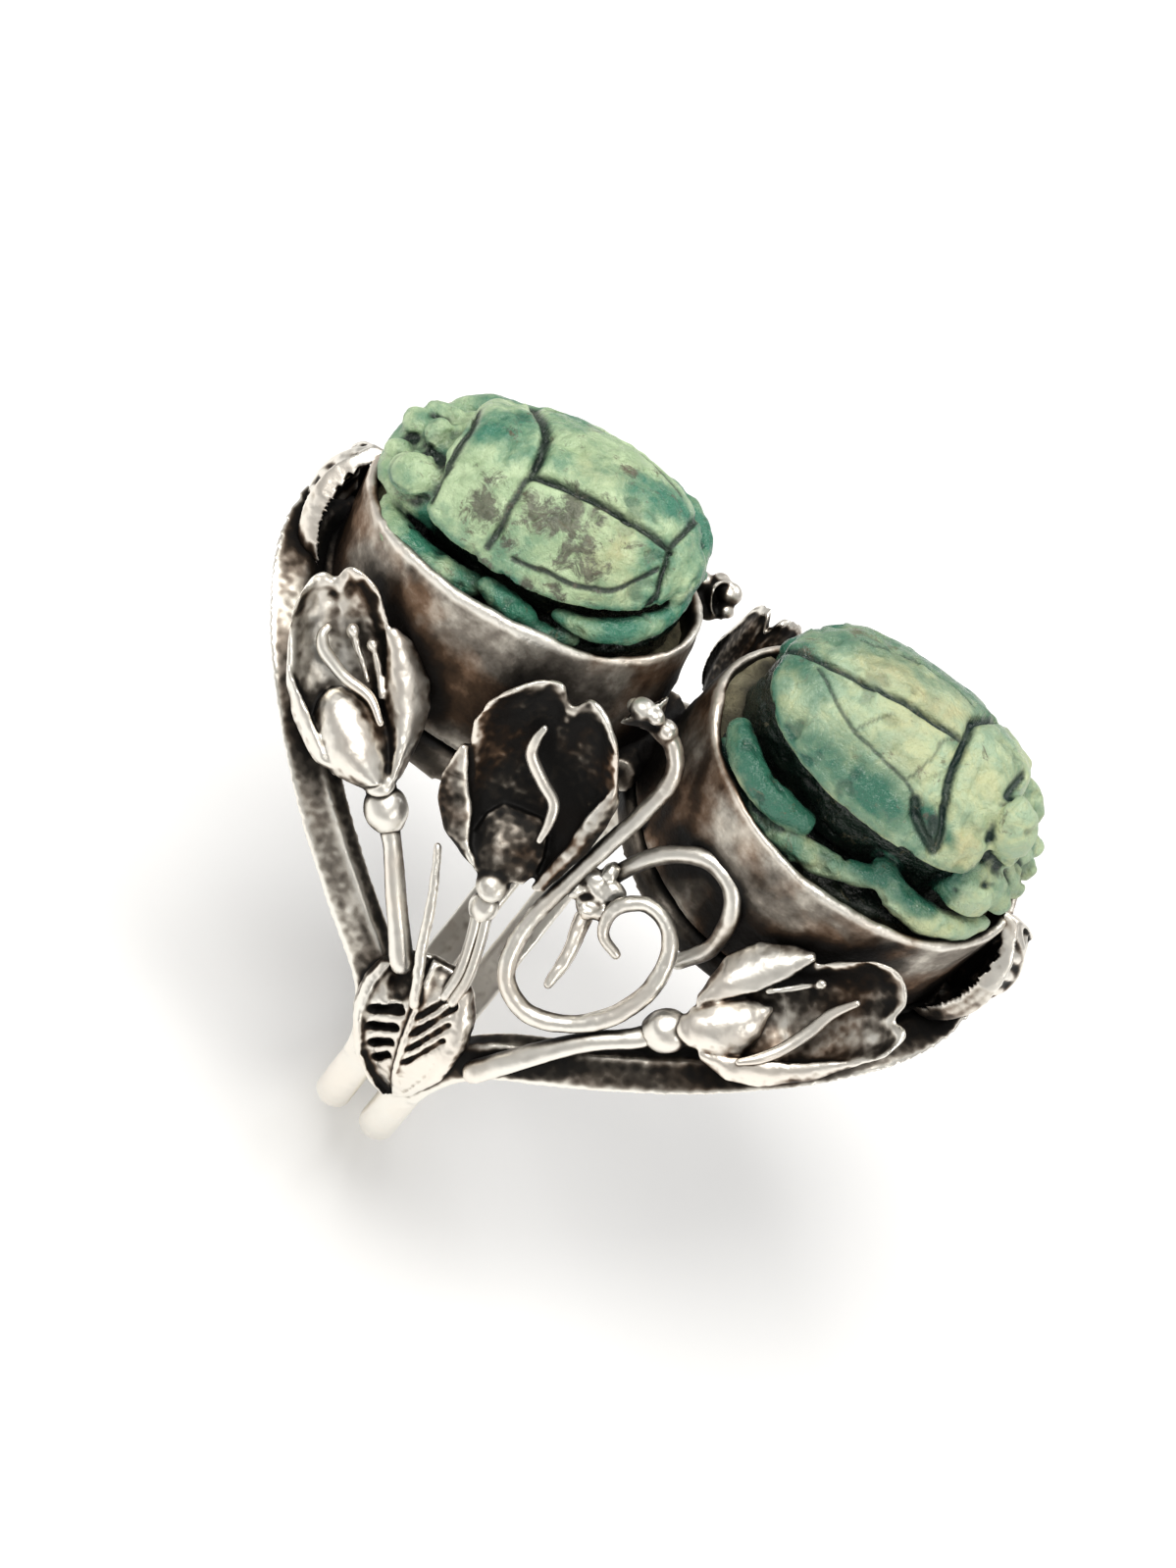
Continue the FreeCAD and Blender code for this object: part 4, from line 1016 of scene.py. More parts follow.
def bedding(side, matrix, half_length, half_width, seed, mounds):
    """Rough cement that fills the bezel; a mound is a place along and across, a size and a height."""
    rings, spokes = 40, 160
    level, depth = -1.5, -2.6
    points, faces = [], []
    for ring in range(rings + 1):
        share = ring / rings
        for spoke in range(spokes):
            t = 2 * math.pi * spoke / spokes
            points.append((half_length * share * math.cos(t), half_width * share * math.sin(t), 0.0))
    points = np.array(points)
    height = np.full(len(points), level)
    for x, y, size, rise in mounds:
        away = (points[:, 0] - x) ** 2 + (points[:, 1] - y) ** 2
        height = np.maximum(height, level + rise * np.exp(-away / size**2))
    height += 0.12 * clouds(points, 0.7, seed) + 0.06 * clouds(points, 0.22, seed + 3, 2)
    points[:, 2] = height
    faces = shell_faces(rings + 1, spokes)
    floor = [(0.98 * p[0], 0.98 * p[1], depth) for p in points[-spokes:]]
    start = len(points)
    points = list(points) + floor
    for spoke in range(spokes):
        after = (spoke + 1) % spokes
        faces.append((start - spokes + spoke, start - spokes + after, start + after, start + spoke))
    faces.append(tuple(range(start + spokes - 1, start - 1, -1)))
    mesh = moved(mesh_of(points, faces), matrix)
    piece(side + "_cement", mesh, CEMENT, "bedding", side + "_bedding")


def make_bezels():
    """Walls and bedding."""
    bezel_wall("left", LEFT_BEZEL, *LEFT_HALF, 71)
    bezel_wall("right", RIGHT_BEZEL, *RIGHT_HALF, 83)
    bedding("left", LEFT_BEZEL, 5.95, 4.45, 5, [(-5.2, -1.5, 1.2, 0.5)])
    bedding("right", RIGHT_BEZEL, 6.1, 4.65, 9, [(-5.3, -0.2, 1.6, 1.75), (-5.5, 1.6, 1.3, 1.4)])


# Wires

def wire(name, node_name, points, radii, flat, seed, turn, extra=(), rough=1):
    """A bent wire with a slightly uneven surface."""
    mesh = tube(spline(points, 14), radii, 22, flat)
    if extra:
        mesh = skinned([mesh, *extra], 0.075, 2)
    roughened(mesh, (0.022 * rough, 0.9, seed, 3), (0.01 * rough, 0.3, seed + 4, 2))
    piece(name, moved(mesh, turn), ORNAMENT, "ornament_silver", node_name)


def spots(route):
    """Places on the near shoulder as rows."""
    return [tuple(shoulder_spot(*place)) for place in route]


SCROLL_REST = [
    (0.05, 46, 0.85), (0.062, 54, 0.72), (0.1, 59, 0.7), (0.18, 61, 0.7), (0.27, 58, 0.7), (0.34, 52, 0.8),
    (0.375, 44, 1.1), (0.36, 37, 1.5), (0.31, 33, 1.8), (0.24, 32.5, 1.8), (0.19, 36, 1.45),
    (0.205, 40.5, 1.1), (0.26, 42, 0.95),
]
NEAR_SCROLL_TOP = [(0, 15, 5.0), (0.06, 15.5, 4.8), (0.105, 18, 4.1), (0.1, 23, 3.0), (0.072, 33, 1.6)]
FAR_SCROLL_TOP = [(0.11, 15, 5.0), (0.17, 16, 4.7), (0.19, 20, 3.7), (0.16, 26, 2.5), (0.11, 34, 1.5)]
LOOP = [
    (0.13, 34, 0.4), (0.155, 28, 1.15), (0.21, 23.5, 2.1), (0.29, 21.5, 2.8), (0.37, 22.5, 2.8),
    (0.42, 25.5, 2.1), (0.43, 30, 1.0), (0.39, 35, 0.3),
]
STEMS = {
    "left": [(-0.39, 47, 0.61), (-0.32, 52, 0.5), (-0.23, 60, 0.46), (-0.13, 69, 0.5)],
    "right": [(0.47, 47, 0.61), (0.42, 52, 0.6), (0.33, 59, 0.52), (0.24, 69, 0.49), (0.17, 78, 0.5)],
}
STEM_REST = [(-0.025, 56, 0.55), (0.005, 63, 0.5), (0.012, 69, 0.45)]
SOLDER_LUMPS = [
    ((0.112, 33.5, 0.8), (0.6, 0.45, 0.45)),
    ((0.165, 33.5, 1.0), (0.55, 0.42, 0.45)),
    ((0.14, 37.5, 0.6), (0.5, 0.62, 0.42)),
    ((0.09, 36.5, 0.8), (0.35, 0.5, 0.35)),
    ((0.175, 37.5, 0.9), (0.4, 0.35, 0.35)),
    ((0.13, 30.5, 1.1), (0.32, 0.45, 0.35)),
    ((0.138, 34.5, 0.85), (0.5, 0.5, 0.42)),
]


def horn(mouth, neck, radius, wide, length):
    """A flared open mouth at the end of a wire."""
    mouth, neck = Vector(mouth), Vector(neck)
    axis = (mouth - neck).normalized()
    place = axes_from(mouth, axis, TO_CAMERA)
    turns = np.linspace(0, 2 * math.pi, 40, endpoint=False)
    profile = [
        (0.0, 0.3 * radius), (0.02, radius), (0.3, radius * 1.25), (0.6, wide * 0.72), (0.85, wide * 0.93),
        (1.0, wide), (1.03, wide * 0.93), (0.9, wide * 0.78), (0.6, wide * 0.5), (0.45, 0.1 * radius),
    ]
    rows = []
    for share, r in profile:
        ring = []
        for t in turns:
            lobes = 1 + 0.12 * share * math.cos(2 * t + 0.6)
            x = share * length + 0.15 * share * math.cos(t)
            ring.append((x, r * lobes * math.cos(t), 0.8 * r * math.sin(t)))
        rows.append(ring)
    return moved(loft(rows), place)


def make_wires(prefix, turn, names, scroll_top, middle_bead):
    """Stems, scroll, loop, granules and tendril of one shoulder."""
    top = spots(scroll_top)
    horn_mesh = horn(top[0], top[1], 0.34, 0.85, 0.75)
    axis = (Vector(top[0]) - Vector(top[1])).normalized()
    lumps = []
    for index, size in enumerate((0.42, 0.34, 0.46, 0.32, 0.4, 0.36)):
        angle = math.radians(60 * index + 15)
        spread = Vector((0.62 * math.cos(angle), -0.36 * math.sin(angle), 0.44 * math.sin(angle)))
        centre = Vector(top[0]) + axis * (0.3 + 0.1 * (index % 2)) + spread
        lumps.append(ball(centre, (size, size, size * 0.8)))
    radii = [0.36, 0.34, 0.33, 0.36, 0.36, 0.34, 0.3, 0.2]
    route = spots(scroll_top + SCROLL_REST)
    wire(prefix + "_scroll_wire", prefix + "_scroll", route, radii, 0.92, 3, turn, [horn_mesh] + lumps)
    wire(prefix + "_loop_wire", prefix + "_loop", spots(LOOP), [0.3, 0.33, 0.33, 0.33, 0.3], 0.92, 5, turn)
    for key, route in STEMS.items():
        stem = "%s_%s" % (prefix, names[key])
        wire(stem + "_stalk", stem + "_stem", spots(route), [0.42, 0.36, 0.38, 0.44], 0.9, 7, turn)
    strands = []
    for offset in (-0.17, 0.17):
        line = [(x + offset, y, z) for x, y, z in spots([middle_bead] + STEM_REST)]
        strands.append(tube(spline(line, 14), [0.22, 0.2, 0.22], 14))
    stem = "%s_%s" % (prefix, names["middle"])
    piece(stem + "_stalk", moved(joined(strands), turn), ORNAMENT, "ornament_silver", stem + "_stem")
    mesh = skinned([ball(shoulder_spot(*place), radii) for place, radii in SOLDER_LUMPS], 0.07, 3)
    roughened(mesh, (0.09, 0.7, 8, 3), (0.03, 0.25, 9, 2))
    store(mesh, "wear_and_painted_light", np.full(len(mesh.vertices), 0.35))
    piece(prefix + "_solder_lumps", moved(mesh, turn), ORNAMENT, "ornament_silver", prefix + "_granules")
    root = shoulder_spot(0.145, 40, 0.5)
    aim = (shoulder_spot(0.18, 55, 0.6) - root).normalized()
    line = [root, root + aim * 1.3 + Vector((0.14, 0, 0.03)), root + aim * 2.55]
    radii = [0.34, 0.30, 0.25, 0.15]
    wire(prefix + "_tendril_wire", prefix + "_tendril", line, radii, 0.8, 9, turn, rough=2.2)


def turned_bead(name, node_name, centre, along, radius, turn):
    """A bead turned with a collar, in line with its flower."""
    place = axes_from(centre, along, TO_CAMERA)
    profile = [
        (-1.15, 0.45), (-0.95, 0.62), (-0.7, 0.82), (-0.35, 0.98), (0.0, 1.0), (0.35, 0.95), (0.6, 0.8),
        (0.72, 0.66), (0.8, 0.7), (0.95, 0.66), (1.05, 0.5),
    ]
    turns = np.linspace(0, 2 * math.pi, 48, endpoint=False)
    rows = [
        [(x * radius, r * radius * math.cos(t), 0.92 * r * radius * math.sin(t)) for t in turns]
        for x, r in profile
    ]
    mesh = roughened(modified(loft(rows), "SUBSURF", levels=1), (0.03, 0.6, 12, 3))
    piece(name, moved(mesh, turn @ place), ORNAMENT, "ornament_silver", node_name)


# Flowers, in the frame of the stamped plate: s from the bead to the tips, t across and h outwards

def petal(left, right, top, crown, thickness, ridges=0.0, tip=None, rolled=0.0):
    """A petal between two edges of places (s, t, h).

    top lifts its far end, crown bulges it, tip bends its far edge and rolled raises its rim.
    """
    rows, columns = 50, 44
    left, right = np.array(left, dtype=float), np.array(right, dtype=float)
    upper = []
    for row in range(rows + 1):
        u = row / rows
        line = []
        for column in range(columns + 1):
            v = column / columns
            low = left[0][0] * (1 - v) + right[0][0] * v
            high = left[-1][0] * (1 - v) + right[-1][0] * v
            if tip:
                high += tip(v)
            s = low + (high - low) * u
            a = [np.interp(s, left[:, 0], left[:, axis]) for axis in (1, 2)]
            b = [np.interp(s, right[:, 0], right[:, axis]) for axis in (1, 2)]
            t = a[0] * (1 - v) + b[0] * v
            fullness = math.sin(math.pi * min(1, 0.15 + 0.85 * u)) ** 0.6 if crown > 0 else 1
            bulge = crown * 4 * v * (1 - v) * fullness
            h = a[1] * (1 - v) + b[1] * v + bulge + top * u**2
            wave = math.cos(2 * math.pi * 5 * v + 2.0 * math.sin(3 * u))
            h += ridges * wave * smooth_step(0.35, 0.9, u)
            h += rolled * (math.exp(-(((v - 0.05) / 0.06) ** 2)) + math.exp(-(((v - 0.95) / 0.06) ** 2)))
            h += rolled * math.exp(-(((u - 0.955) / 0.045) ** 2))
            line.append((s, t, h))
        upper.append(line)
    upper = np.array(upper)
    lower = upper.copy()
    lower[:, :, 2] -= thickness
    count = columns + 1
    points = np.vstack([upper.reshape(-1, 3), lower.reshape(-1, 3)])
    half = (rows + 1) * count
    faces = []
    for row in range(rows):
        for column in range(columns):
            a = row * count + column
            faces.append((a, a + 1, a + count + 1, a + count))
            faces.append((half + a, half + a + count, half + a + count + 1, half + a + 1))
    border = [column for column in range(count)]
    border += [row * count + columns for row in range(1, rows + 1)]
    border += [rows * count + column for column in range(columns - 1, -1, -1)]
    border += [row * count for row in range(rows - 1, 0, -1)]
    for a, b in zip(border, border[1:] + border[:1]):
        faces.append((b, a, half + a, half + b))
    return mesh_of(points, faces)


def two_lobes(notch_at, notch, round_off):
    """The far edge of a back petal: two rounded lobes with a notch between."""
    return lambda v: -notch * math.exp(-(((v - notch_at) / 0.1) ** 2)) - round_off * abs(2 * v - 1) ** 5


# The first entry of each flower, offsets for its hollow and its front, is painted light and shade: the left
# flower is painted lighter, the middle and right flowers darker.
FLOWERS = {
    "left": {
        "wear_and_painted_light": (0.16, 0.08),
        "back": (
            [(1.4, -1.5, 0.1), (3.0, -2.15, 0.3), (4.2, -2.4, 0.4), (5.2, -2.28, 0.5), (6.5, -1.95, 0.6),
             (7.5, -1.5, 0.65), (8.25, -1.15, 0.6)],
            [(1.4, 1.0, 0.1), (3.0, 1.5, 0.3), (4.5, 1.6, 0.4), (5.9, 1.45, 0.5), (7.0, 1.33, 0.65),
             (7.6, 1.25, 0.65),
             (8.2, 1.1, 0.6)],
            (0.53, 0.28, 1.0),
        ),
        "sides": [
            ([(0.85, 0.2, 0.5), (1.95, 0.55, 0.7), (3.6, 0.75, 0.75), (4.6, 1.0, 0.7), (5.87, 1.25, 0.75)],
             [(0.85, 0.7, 0.3), (1.95, 1.6, 0.3), (3.0, 2.2, 0.2), (3.9, 2.36, 0.2), (5.3, 2.1, 0.4),
              (5.95, 1.6, 0.7)],
             0.62),
            ([(1.0, -0.85, 0.4), (2.0, -2.0, 0.35), (3.5, -2.42, 0.4), (4.9, -2.38, 0.55),
              (5.35, -2.25, 0.7)],
             [(1.0, -0.6, 0.6), (2.0, -1.62, 0.9), (2.9, -1.72, 0.95), (4.0, -1.9, 0.9), (4.87, -2.1, 0.8),
              (5.35, -2.2, 0.7)],
             0.12),
        ],
        "front": (
            [(0.8, -0.6, 0.45), (1.4, -1.4, 0.45), (2.0, -1.8, 0.5), (2.8, -1.9, 0.5), (3.5, -1.75, 0.5),
             (4.0, -1.45, 0.55), (4.35, -1.05, 0.6)],
            [(0.8, 0.3, 0.45), (1.5, 0.6, 0.5), (2.2, 0.72, 0.5), (2.8, 0.65, 0.5), (3.4, 0.4, 0.5),
             (3.9, 0.0, 0.55),
             (4.35, -0.6, 0.6)],
            0.95,
        ),
        "pistil": [(6.35, -0.62, 0.85), (6.15, -0.85, 0.9), (5.69, -0.91, 0.95), (5.1, -0.68, 0.98),
        (4.54, -0.37, 1.02),
                   (3.75, 0.26, 1.15), (2.83, 0.43, 1.3)],
        "stamens": [
            [(6.07, 0.18, 0.75), (5.5, 0.2, 0.65), (5.03, 0.26, 0.6), (4.3, 0.3, 0.7)],
            [(5.46, 0.71, 0.75), (4.9, 0.75, 0.65), (4.4, 0.73, 0.65), (3.7, 0.65, 0.8)],
        ],
    },
    "middle": {
        "wear_and_painted_light": (-0.06, -0.2),
        "back": (
            [(1.5, -1.3, 0.1), (3.0, -1.9, 0.3), (4.5, -2.35, 0.4), (5.36, -2.5, 0.5), (6.0, -2.66, 0.6),
             (6.9, -2.42, 0.7), (7.8, -1.9, 0.75), (8.5, -1.5, 0.65)],
            [(1.5, 1.6, 0.1), (3.0, 2.2, 0.25), (3.7, 2.45, 0.3), (5.2, 2.75, 0.45), (6.07, 2.55, 0.5),
             (7.2, 2.1, 0.6),
             (8.3, 1.6, 0.55)],
            (0.56, 0.6, 1.0),
        ),
        "sides": [
            ([(1.35, 1.2, 0.5), (3.0, 1.75, 0.75), (4.5, 2.1, 0.8), (5.6, 2.45, 0.75)],
             [(1.35, 1.7, 0.3), (3.0, 2.5, 0.25), (4.2, 2.8, 0.3), (5.2, 2.88, 0.4), (5.9, 2.6, 0.6)],
             0.3),
            ([(1.3, -1.0, 0.35), (2.0, -2.25, 0.3), (3.0, -2.85, 0.35), (3.9, -3.0, 0.5), (5.1, -2.75, 0.75)],
             [(1.3, -0.7, 0.55), (1.9, -1.2, 0.75), (3.07, -1.6, 0.8), (3.85, -2.0, 0.8), (5.1, -2.5, 0.75)],
             0.2),
        ],
        "front": (
            [(1.15, -0.75, 0.5), (1.7, -1.2, 0.45), (2.4, -1.25, 0.35), (3.0, -1.1, 0.25), (3.5, -0.7, 0.1)],
            [(1.3, 0.95, 0.5), (1.8, 1.25, 0.45), (2.4, 1.25, 0.35), (3.0, 1.1, 0.25), (3.5, 0.7, 0.1)],
            0.35,
        ),
        "pistil": [(6.7, -0.38, 0.75), (6.2, -0.5, 0.8), (5.6, -0.42, 0.8), (4.9, 0.24, 0.8),
        (4.37, 0.85, 0.8),
                   (3.7, 0.97, 0.85), (3.0, 0.9, 0.8)],
        "stamens": [],
    },
    "right": {
        "wear_and_painted_light": (-0.14, 0.0),
        "back": (
            [(1.4, -1.5, 0.1), (3.0, -2.1, 0.3), (4.5, -2.1, 0.4), (5.2, -1.95, 0.55), (6.5, -1.98, 0.65),
             (8.2, -1.85, 0.65)],
            [(1.4, 1.1, 0.1), (3.0, 1.6, 0.25), (4.45, 1.8, 0.4), (6.3, 1.55, 0.55), (7.4, 1.3, 0.6),
             (8.2, 1.1, 0.6)],
            (0.64, 0.45, 0.9),
        ),
        "sides": [
            ([(1.05, 0.75, 0.5), (2.0, 1.0, 0.75), (3.0, 1.15, 0.85), (4.5, 1.35, 0.8), (6.0, 1.35, 0.75)],
             [(1.05, 1.0, 0.3), (1.9, 1.78, 0.3), (3.0, 2.08, 0.3), (4.45, 2.02, 0.4), (6.2, 1.6, 0.6)],
             0.2),
            ([(1.1, -1.1, 0.35), (2.14, -2.4, 0.25), (3.3, -2.8, 0.25), (4.5, -2.62, 0.45),
              (5.2, -2.3, 0.75)],
             [(1.1, -0.75, 0.6), (2.2, -1.0, 0.95), (3.1, -1.1, 1.05), (4.2, -1.5, 1.0), (5.2, -2.08, 0.85)],
             0.4),
        ],
        "front": (
            [(0.85, -0.7, 0.5), (1.8, -1.0, 0.65), (2.8, -0.95, 0.7), (3.65, -0.6, 0.65)],
            [(0.85, 0.6, 0.5), (1.8, 1.0, 0.6), (2.5, 0.95, 0.6), (3.1, 0.45, 0.65), (3.6, -0.4, 0.65)],
            0.6,
        ),
        "pistil": [(6.5, -0.55, 0.85), (5.6, -0.22, 0.85), (4.87, 0.29, 0.8), (3.9, 0.84, 0.85),
        (3.1, 1.1, 0.95),
                   (2.4, 1.18, 0.95)],
        "stamens": [[(5.3, -1.24, 0.8), (4.7, -1.2, 0.65), (4.0, -1.15, 0.65), (3.5, -1.1, 0.75)]],
    },
}


def dish(s, t):
    """How far the sheet of a flower curves up from a flat one."""
    bowl = 9.0
    return bowl - np.sqrt(bowl**2 - (s - 4) ** 2 - t**2)


def flower_mesh(design, seed):
    """A stamped flower: back petal, two side petals, front petal and base, without its pistil."""
    left, right, lobes = design["back"]
    back = petal(left, right, 0.15, -0.45, 0.34, 0.02, two_lobes(*lobes), 0.16)
    parts = [back]
    for left, right, crown in design["sides"]:
        if left[1][1] > right[1][1]:
            left, right = right, left
        parts.append(petal(left, right, 0.0, crown, 0.45))
    left, right, crown = design["front"]
    parts.append(petal(left, right, 0.0, crown, 0.5))
    for stamen in design["stamens"]:
        parts.append(tube(spline(stamen, 6), [0.13, 0.13, 0.1], 12))
        parts.append(ball(stamen[0], (0.26, 0.22, 0.22), 2))
    parts.append(ball((1.0, 0, 0.35), (0.65, 0.62, 0.5)))
    mesh = skinned(parts, 0.06, 5)
    points = coords(mesh)
    points[:, 2] += dish(points[:, 0], points[:, 1])
    rough = 0.035 * clouds(points, 0.9, seed) + 0.01 * clouds(points, 0.3, seed + 3, 2)
    place_coords(mesh, points + normals(mesh) * rough[:, None])
    # Painted light and shade: each flower's hollow and front are made lighter or darker by its listed
    # offsets.
    hollow, front = design["wear_and_painted_light"]
    store(mesh, "wear_and_painted_light", np.where(points[:, 0] < 4.0, front, hollow) * smooth_step(0.6, 1.4, points[:, 0]))
    mesh.transform(Matrix.Diagonal((1, -1, 1, 1)))
    mesh.flip_normals()
    return mesh


def make_flowers(prefix, turn, names, places, middle_silver):
    """Three flowers of one shoulder with their pistils and beads."""
    for seed, (key, (bead_spot, tip_spot, bead_radius, width)) in enumerate(places.items()):
        design = FLOWERS[key]
        name = "%s_%s" % (prefix, names[key])
        base, tip = shoulder_spot(*bead_spot), shoulder_spot(*tip_spot)
        along = (tip - base).normalized()
        facing = math.radians(bead_spot[1])
        outward = Vector((0, -math.sin(facing), math.cos(facing)))
        place = turn @ axes_from(base, along, outward) @ Matrix.Translation((0, 0, -BEAD / 2))
        length = 0.62 + 0.38 * width
        mesh = moved(flower_mesh(design, 20 + 7 * seed), place @ Matrix.Diagonal((length, width, 1, 1)))
        material = middle_silver if key == "middle" else ORNAMENT
        piece(name + "_bloom", mesh, material, "ornament_silver", name + "_flower")
        line = spline([(length * s, -t * width, h + dish(s, t)) for s, t, h in design["pistil"]], 8)
        mesh = moved(tube(line, [0.13, 0.2, 0.24, 0.22, 0.2, 0.12], 16, 0.9), place)
        piece(name + "_style", mesh, ORNAMENT, "ornament_silver", name + "_pistil")
        turned_bead(name + "_knop", name + "_bead", base, along, bead_radius, turn)


# Where the bead is, where the tip points, the bead's radius and the flower's width
NEAR_PLACES = {
    "left": ((-0.39, 47, 0.7), (-0.82, 22, 2.4), BEAD, 1),
    "middle": ((-0.06, 50, 0.6), (-0.21, 18, 4.8), SMALL_BEAD, 1),
    "right": ((0.47, 47, 0.7), (0.883, 22.5, 3.0), BEAD, 1),
}
FAR_PLACES = {
    "left": ((-0.39, 47, 0.7), (-0.82, 22, 2.4), BEAD, 1),
    "middle": ((-0.1, 50, 0.6), (-0.06, 17, 6.2), SMALL_BEAD, 0.46),
    "right": ((0.47, 47, 0.7), (0.883, 22.5, 3.0), BEAD, 1),
}


# Leaves

def blade(matrix, length, half_width, widths, height, seated):
    """A leaf as a closed form: height gives its top, and its back follows the top or lies on the seat."""
    rows, columns = 120, 96
    u, v = np.meshgrid(np.linspace(0, 1, rows), np.linspace(-1, 1, columns), indexing="ij")
    u = 0.5 - 0.5 * np.cos(math.pi * u)
    x = length * u
    y = v * half_width * np.interp(u, [share for share, _ in widths], [wide for _, wide in widths])
    top = height(x.ravel(), y.ravel(), v.ravel()).reshape(x.shape)
    if seated:
        back = np.array([-seat_depth(matrix, a, b) for a, b in zip(x.ravel(), y.ravel())]).reshape(x.shape)
        top = np.maximum(top, back + 0.12)
    else:
        back = top - 0.55
    upper = np.stack([x, y, top], axis=2).reshape(-1, 3)
    lower = np.stack([x, y, back], axis=2).reshape(-1, 3)
    half = rows * columns
    faces = []
    for row in range(rows - 1):
        for column in range(columns - 1):
            a = row * columns + column
            faces.append((a, a + columns, a + columns + 1, a + 1))
            faces.append((half + a, half + a + 1, half + a + columns + 1, half + a + columns))
    border = list(range(columns)) + [row * columns + columns - 1 for row in range(1, rows)]
    border += [(rows - 1) * columns + column for column in range(columns - 2, -1, -1)]
    border += [row * columns for row in range(rows - 2, 0, -1)]
    for a, b in zip(border, border[1:] + border[:1]):
        faces.append((a, b, half + b, half + a))
    return mesh_of(np.vstack([upper, lower]), faces)


def bar(x, y, start, end, width):
    """1 on a straight mark from start to end, and 0 away from it."""
    flat = np.stack([x, y, np.zeros(len(x))], axis=1)
    return np.exp(-(distance_to(flat, [(*start, 0), (*end, 0)]) / width) ** 4)


def shoulder_leaf_height(x, y, v):
    """The shoulder leaf's top: smooth rim, midrib, a hollow and slots on one side and veins on the other."""
    length, rise = 6.0, 1.2
    dome = (length**2 / 4 + rise**2) / (2 * rise)
    top = rise - dome + np.sqrt(np.maximum(dome**2 - (x - length / 2) ** 2 - y**2, 0.1))
    rim = smooth_step(0.68, 0.82, np.abs(v)) * smooth_step(1.02, 0.9, np.abs(v))
    top += np.where(y < 0, 0.30, 0.12) * rim
    top -= 0.16 * smooth_step(0.75, 0.55, np.abs(v)) * (y < 0)
    middle = 0.12 + 0.05 * np.sin(x)
    top += 0.22 * np.exp(-(((y - middle) / 0.15) ** 2)) * smooth_step(5.2, 4.2, x)
    top -= 0.34 * np.exp(-((((x - 1.35) / 0.62) ** 2 + ((y + 0.72) / 0.42) ** 2) ** 2))
    for at, outer in ((2.0, -1.32), (2.65, -1.22), (3.27, -1.0), (3.85, -0.75)):
        top -= 0.42 * bar(x, y, (at, -0.38), (at + 0.4, outer), 0.13)
    for at in (1.3, 1.95, 2.6, 3.2):
        top -= 0.20 * bar(x, y, (at + 0.5, 0.35), (at - 0.8, 1.35), 0.09)
    return top


def make_shoulder_leaf(prefix, turn):
    """The leaf over the place where the bands meet, and the wire that enters its top."""
    facing = math.radians(82)
    outward = Vector((0, -math.sin(facing), math.cos(facing)))
    along = Vector((0.32, -math.cos(facing), -math.sin(facing)))
    matrix = axes_from(shoulder_spot(-0.065, 64.5, 0) + outward * 0.235, along, outward)
    matrix = matrix @ Matrix.Translation((-0.1, -0.15, 0))
    widths = [
        (0, 0.05), (0.03, 0.5), (0.12, 0.8), (0.25, 0.97), (0.42, 1.0), (0.68, 0.78), (0.9, 0.34), (1.0, 0.04)
    ]
    parts = [blade(matrix, 6.0, 2.12, widths, shoulder_leaf_height, True)]
    path = [(1.3, 0.05, 1.1), (0.3, -0.1, 0.98), (-0.8, -0.35, 0.68), (-1.9, -0.5, 0.35), (-3.0, -0.8, -0.15),
            (-3.8, -1.1, -0.6)]
    parts.append(tube(spline(path, 8), [0.2, 0.2, 0.18, 0.15], 14))
    mesh = roughened(skinned(parts, 0.065, 2), (0.02, 0.9, 31, 3), (0.02, 0.3, 37, 2))
    piece(prefix + "_leaf_shell", moved(mesh, turn @ matrix), ORNAMENT, "ornament_silver", prefix + "_leaf")


def end_leaf_height(x, y, v):
    """An end leaf's top: a folded smooth border, a midrib and slanting ribs."""
    length, bulge = 5.6, 1.7
    dome = (length**2 / 4 + bulge**2) / (2 * bulge)
    top = bulge - dome + np.sqrt(np.maximum(dome**2 - (x - length / 2) ** 2 - y**2, 0.1))
    top += 0.22 * smooth_step(0.7, 0.85, np.abs(v)) * smooth_step(1.02, 0.92, np.abs(v))
    top += 0.2 * np.exp(-((y / 0.2) ** 2))
    ribs = np.cos(2 * math.pi * (x - 0.75 * np.abs(y)) / 0.85)
    top += 0.09 * ribs * smooth_step(0.1, 0.3, np.abs(y)) * smooth_step(0.78, 0.66, np.abs(v))
    return top - 0.1


def make_end_leaf(side, bezel, half_length, seed, shine):
    """A ribbed leaf against the outer end of a bezel."""
    foot = bezel @ Vector((half_length, 0, -5.6))
    turn = bezel.to_3x3()
    matrix = axes_from(foot, turn @ Vector((0, 0, 1)), turn @ Vector((1, 0, 0)))
    widths = [(0, 0.04), (0.03, 0.5), (0.2, 0.95), (0.42, 1.0), (0.68, 0.74), (0.9, 0.3), (1.0, 0.03)]
    mesh = skinned([blade(matrix, 5.6, 2.3, widths, end_leaf_height, False)], 0.07, 2)
    roughened(mesh, (0.025, 0.8, seed, 3), (0.012, 0.3, seed + 3, 2))
    store(mesh, "wear_and_painted_light", np.full(len(mesh.vertices), shine))
    piece(side + "_end_leaf_shell", moved(mesh, matrix), ORNAMENT, "ornament_silver", side + "_end_leaf")


def worn_copy(name, node_name, material, slot, voxel, rounds, seed, bumps=0.02):
    """A piece with the outline of its solid, its edges rounded and its surface uneven as by hand."""
    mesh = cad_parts[node_name].data.copy()
    mesh.transform(Matrix.Scale(1000, 4))
    work = bmesh.new()
    work.from_mesh(mesh)
    bmesh.ops.remove_doubles(work, verts=work.verts, dist=0.0005)
    work.to_mesh(mesh)
    work.free()
    mesh = skinned([mesh], voxel, rounds)
    x, _, z = coords(mesh).T
    roughened(mesh, (bumps, 1.3, seed, 3), (0.5 * bumps, 0.35, seed + 3, 2))
    store(mesh, "wear_and_painted_light", 0.55 * smooth_step(2.5, -1.5, z) - 0.18 * (x > 0) * smooth_step(1.5, 4.5, z))
    piece(name, mesh, material, slot, node_name)


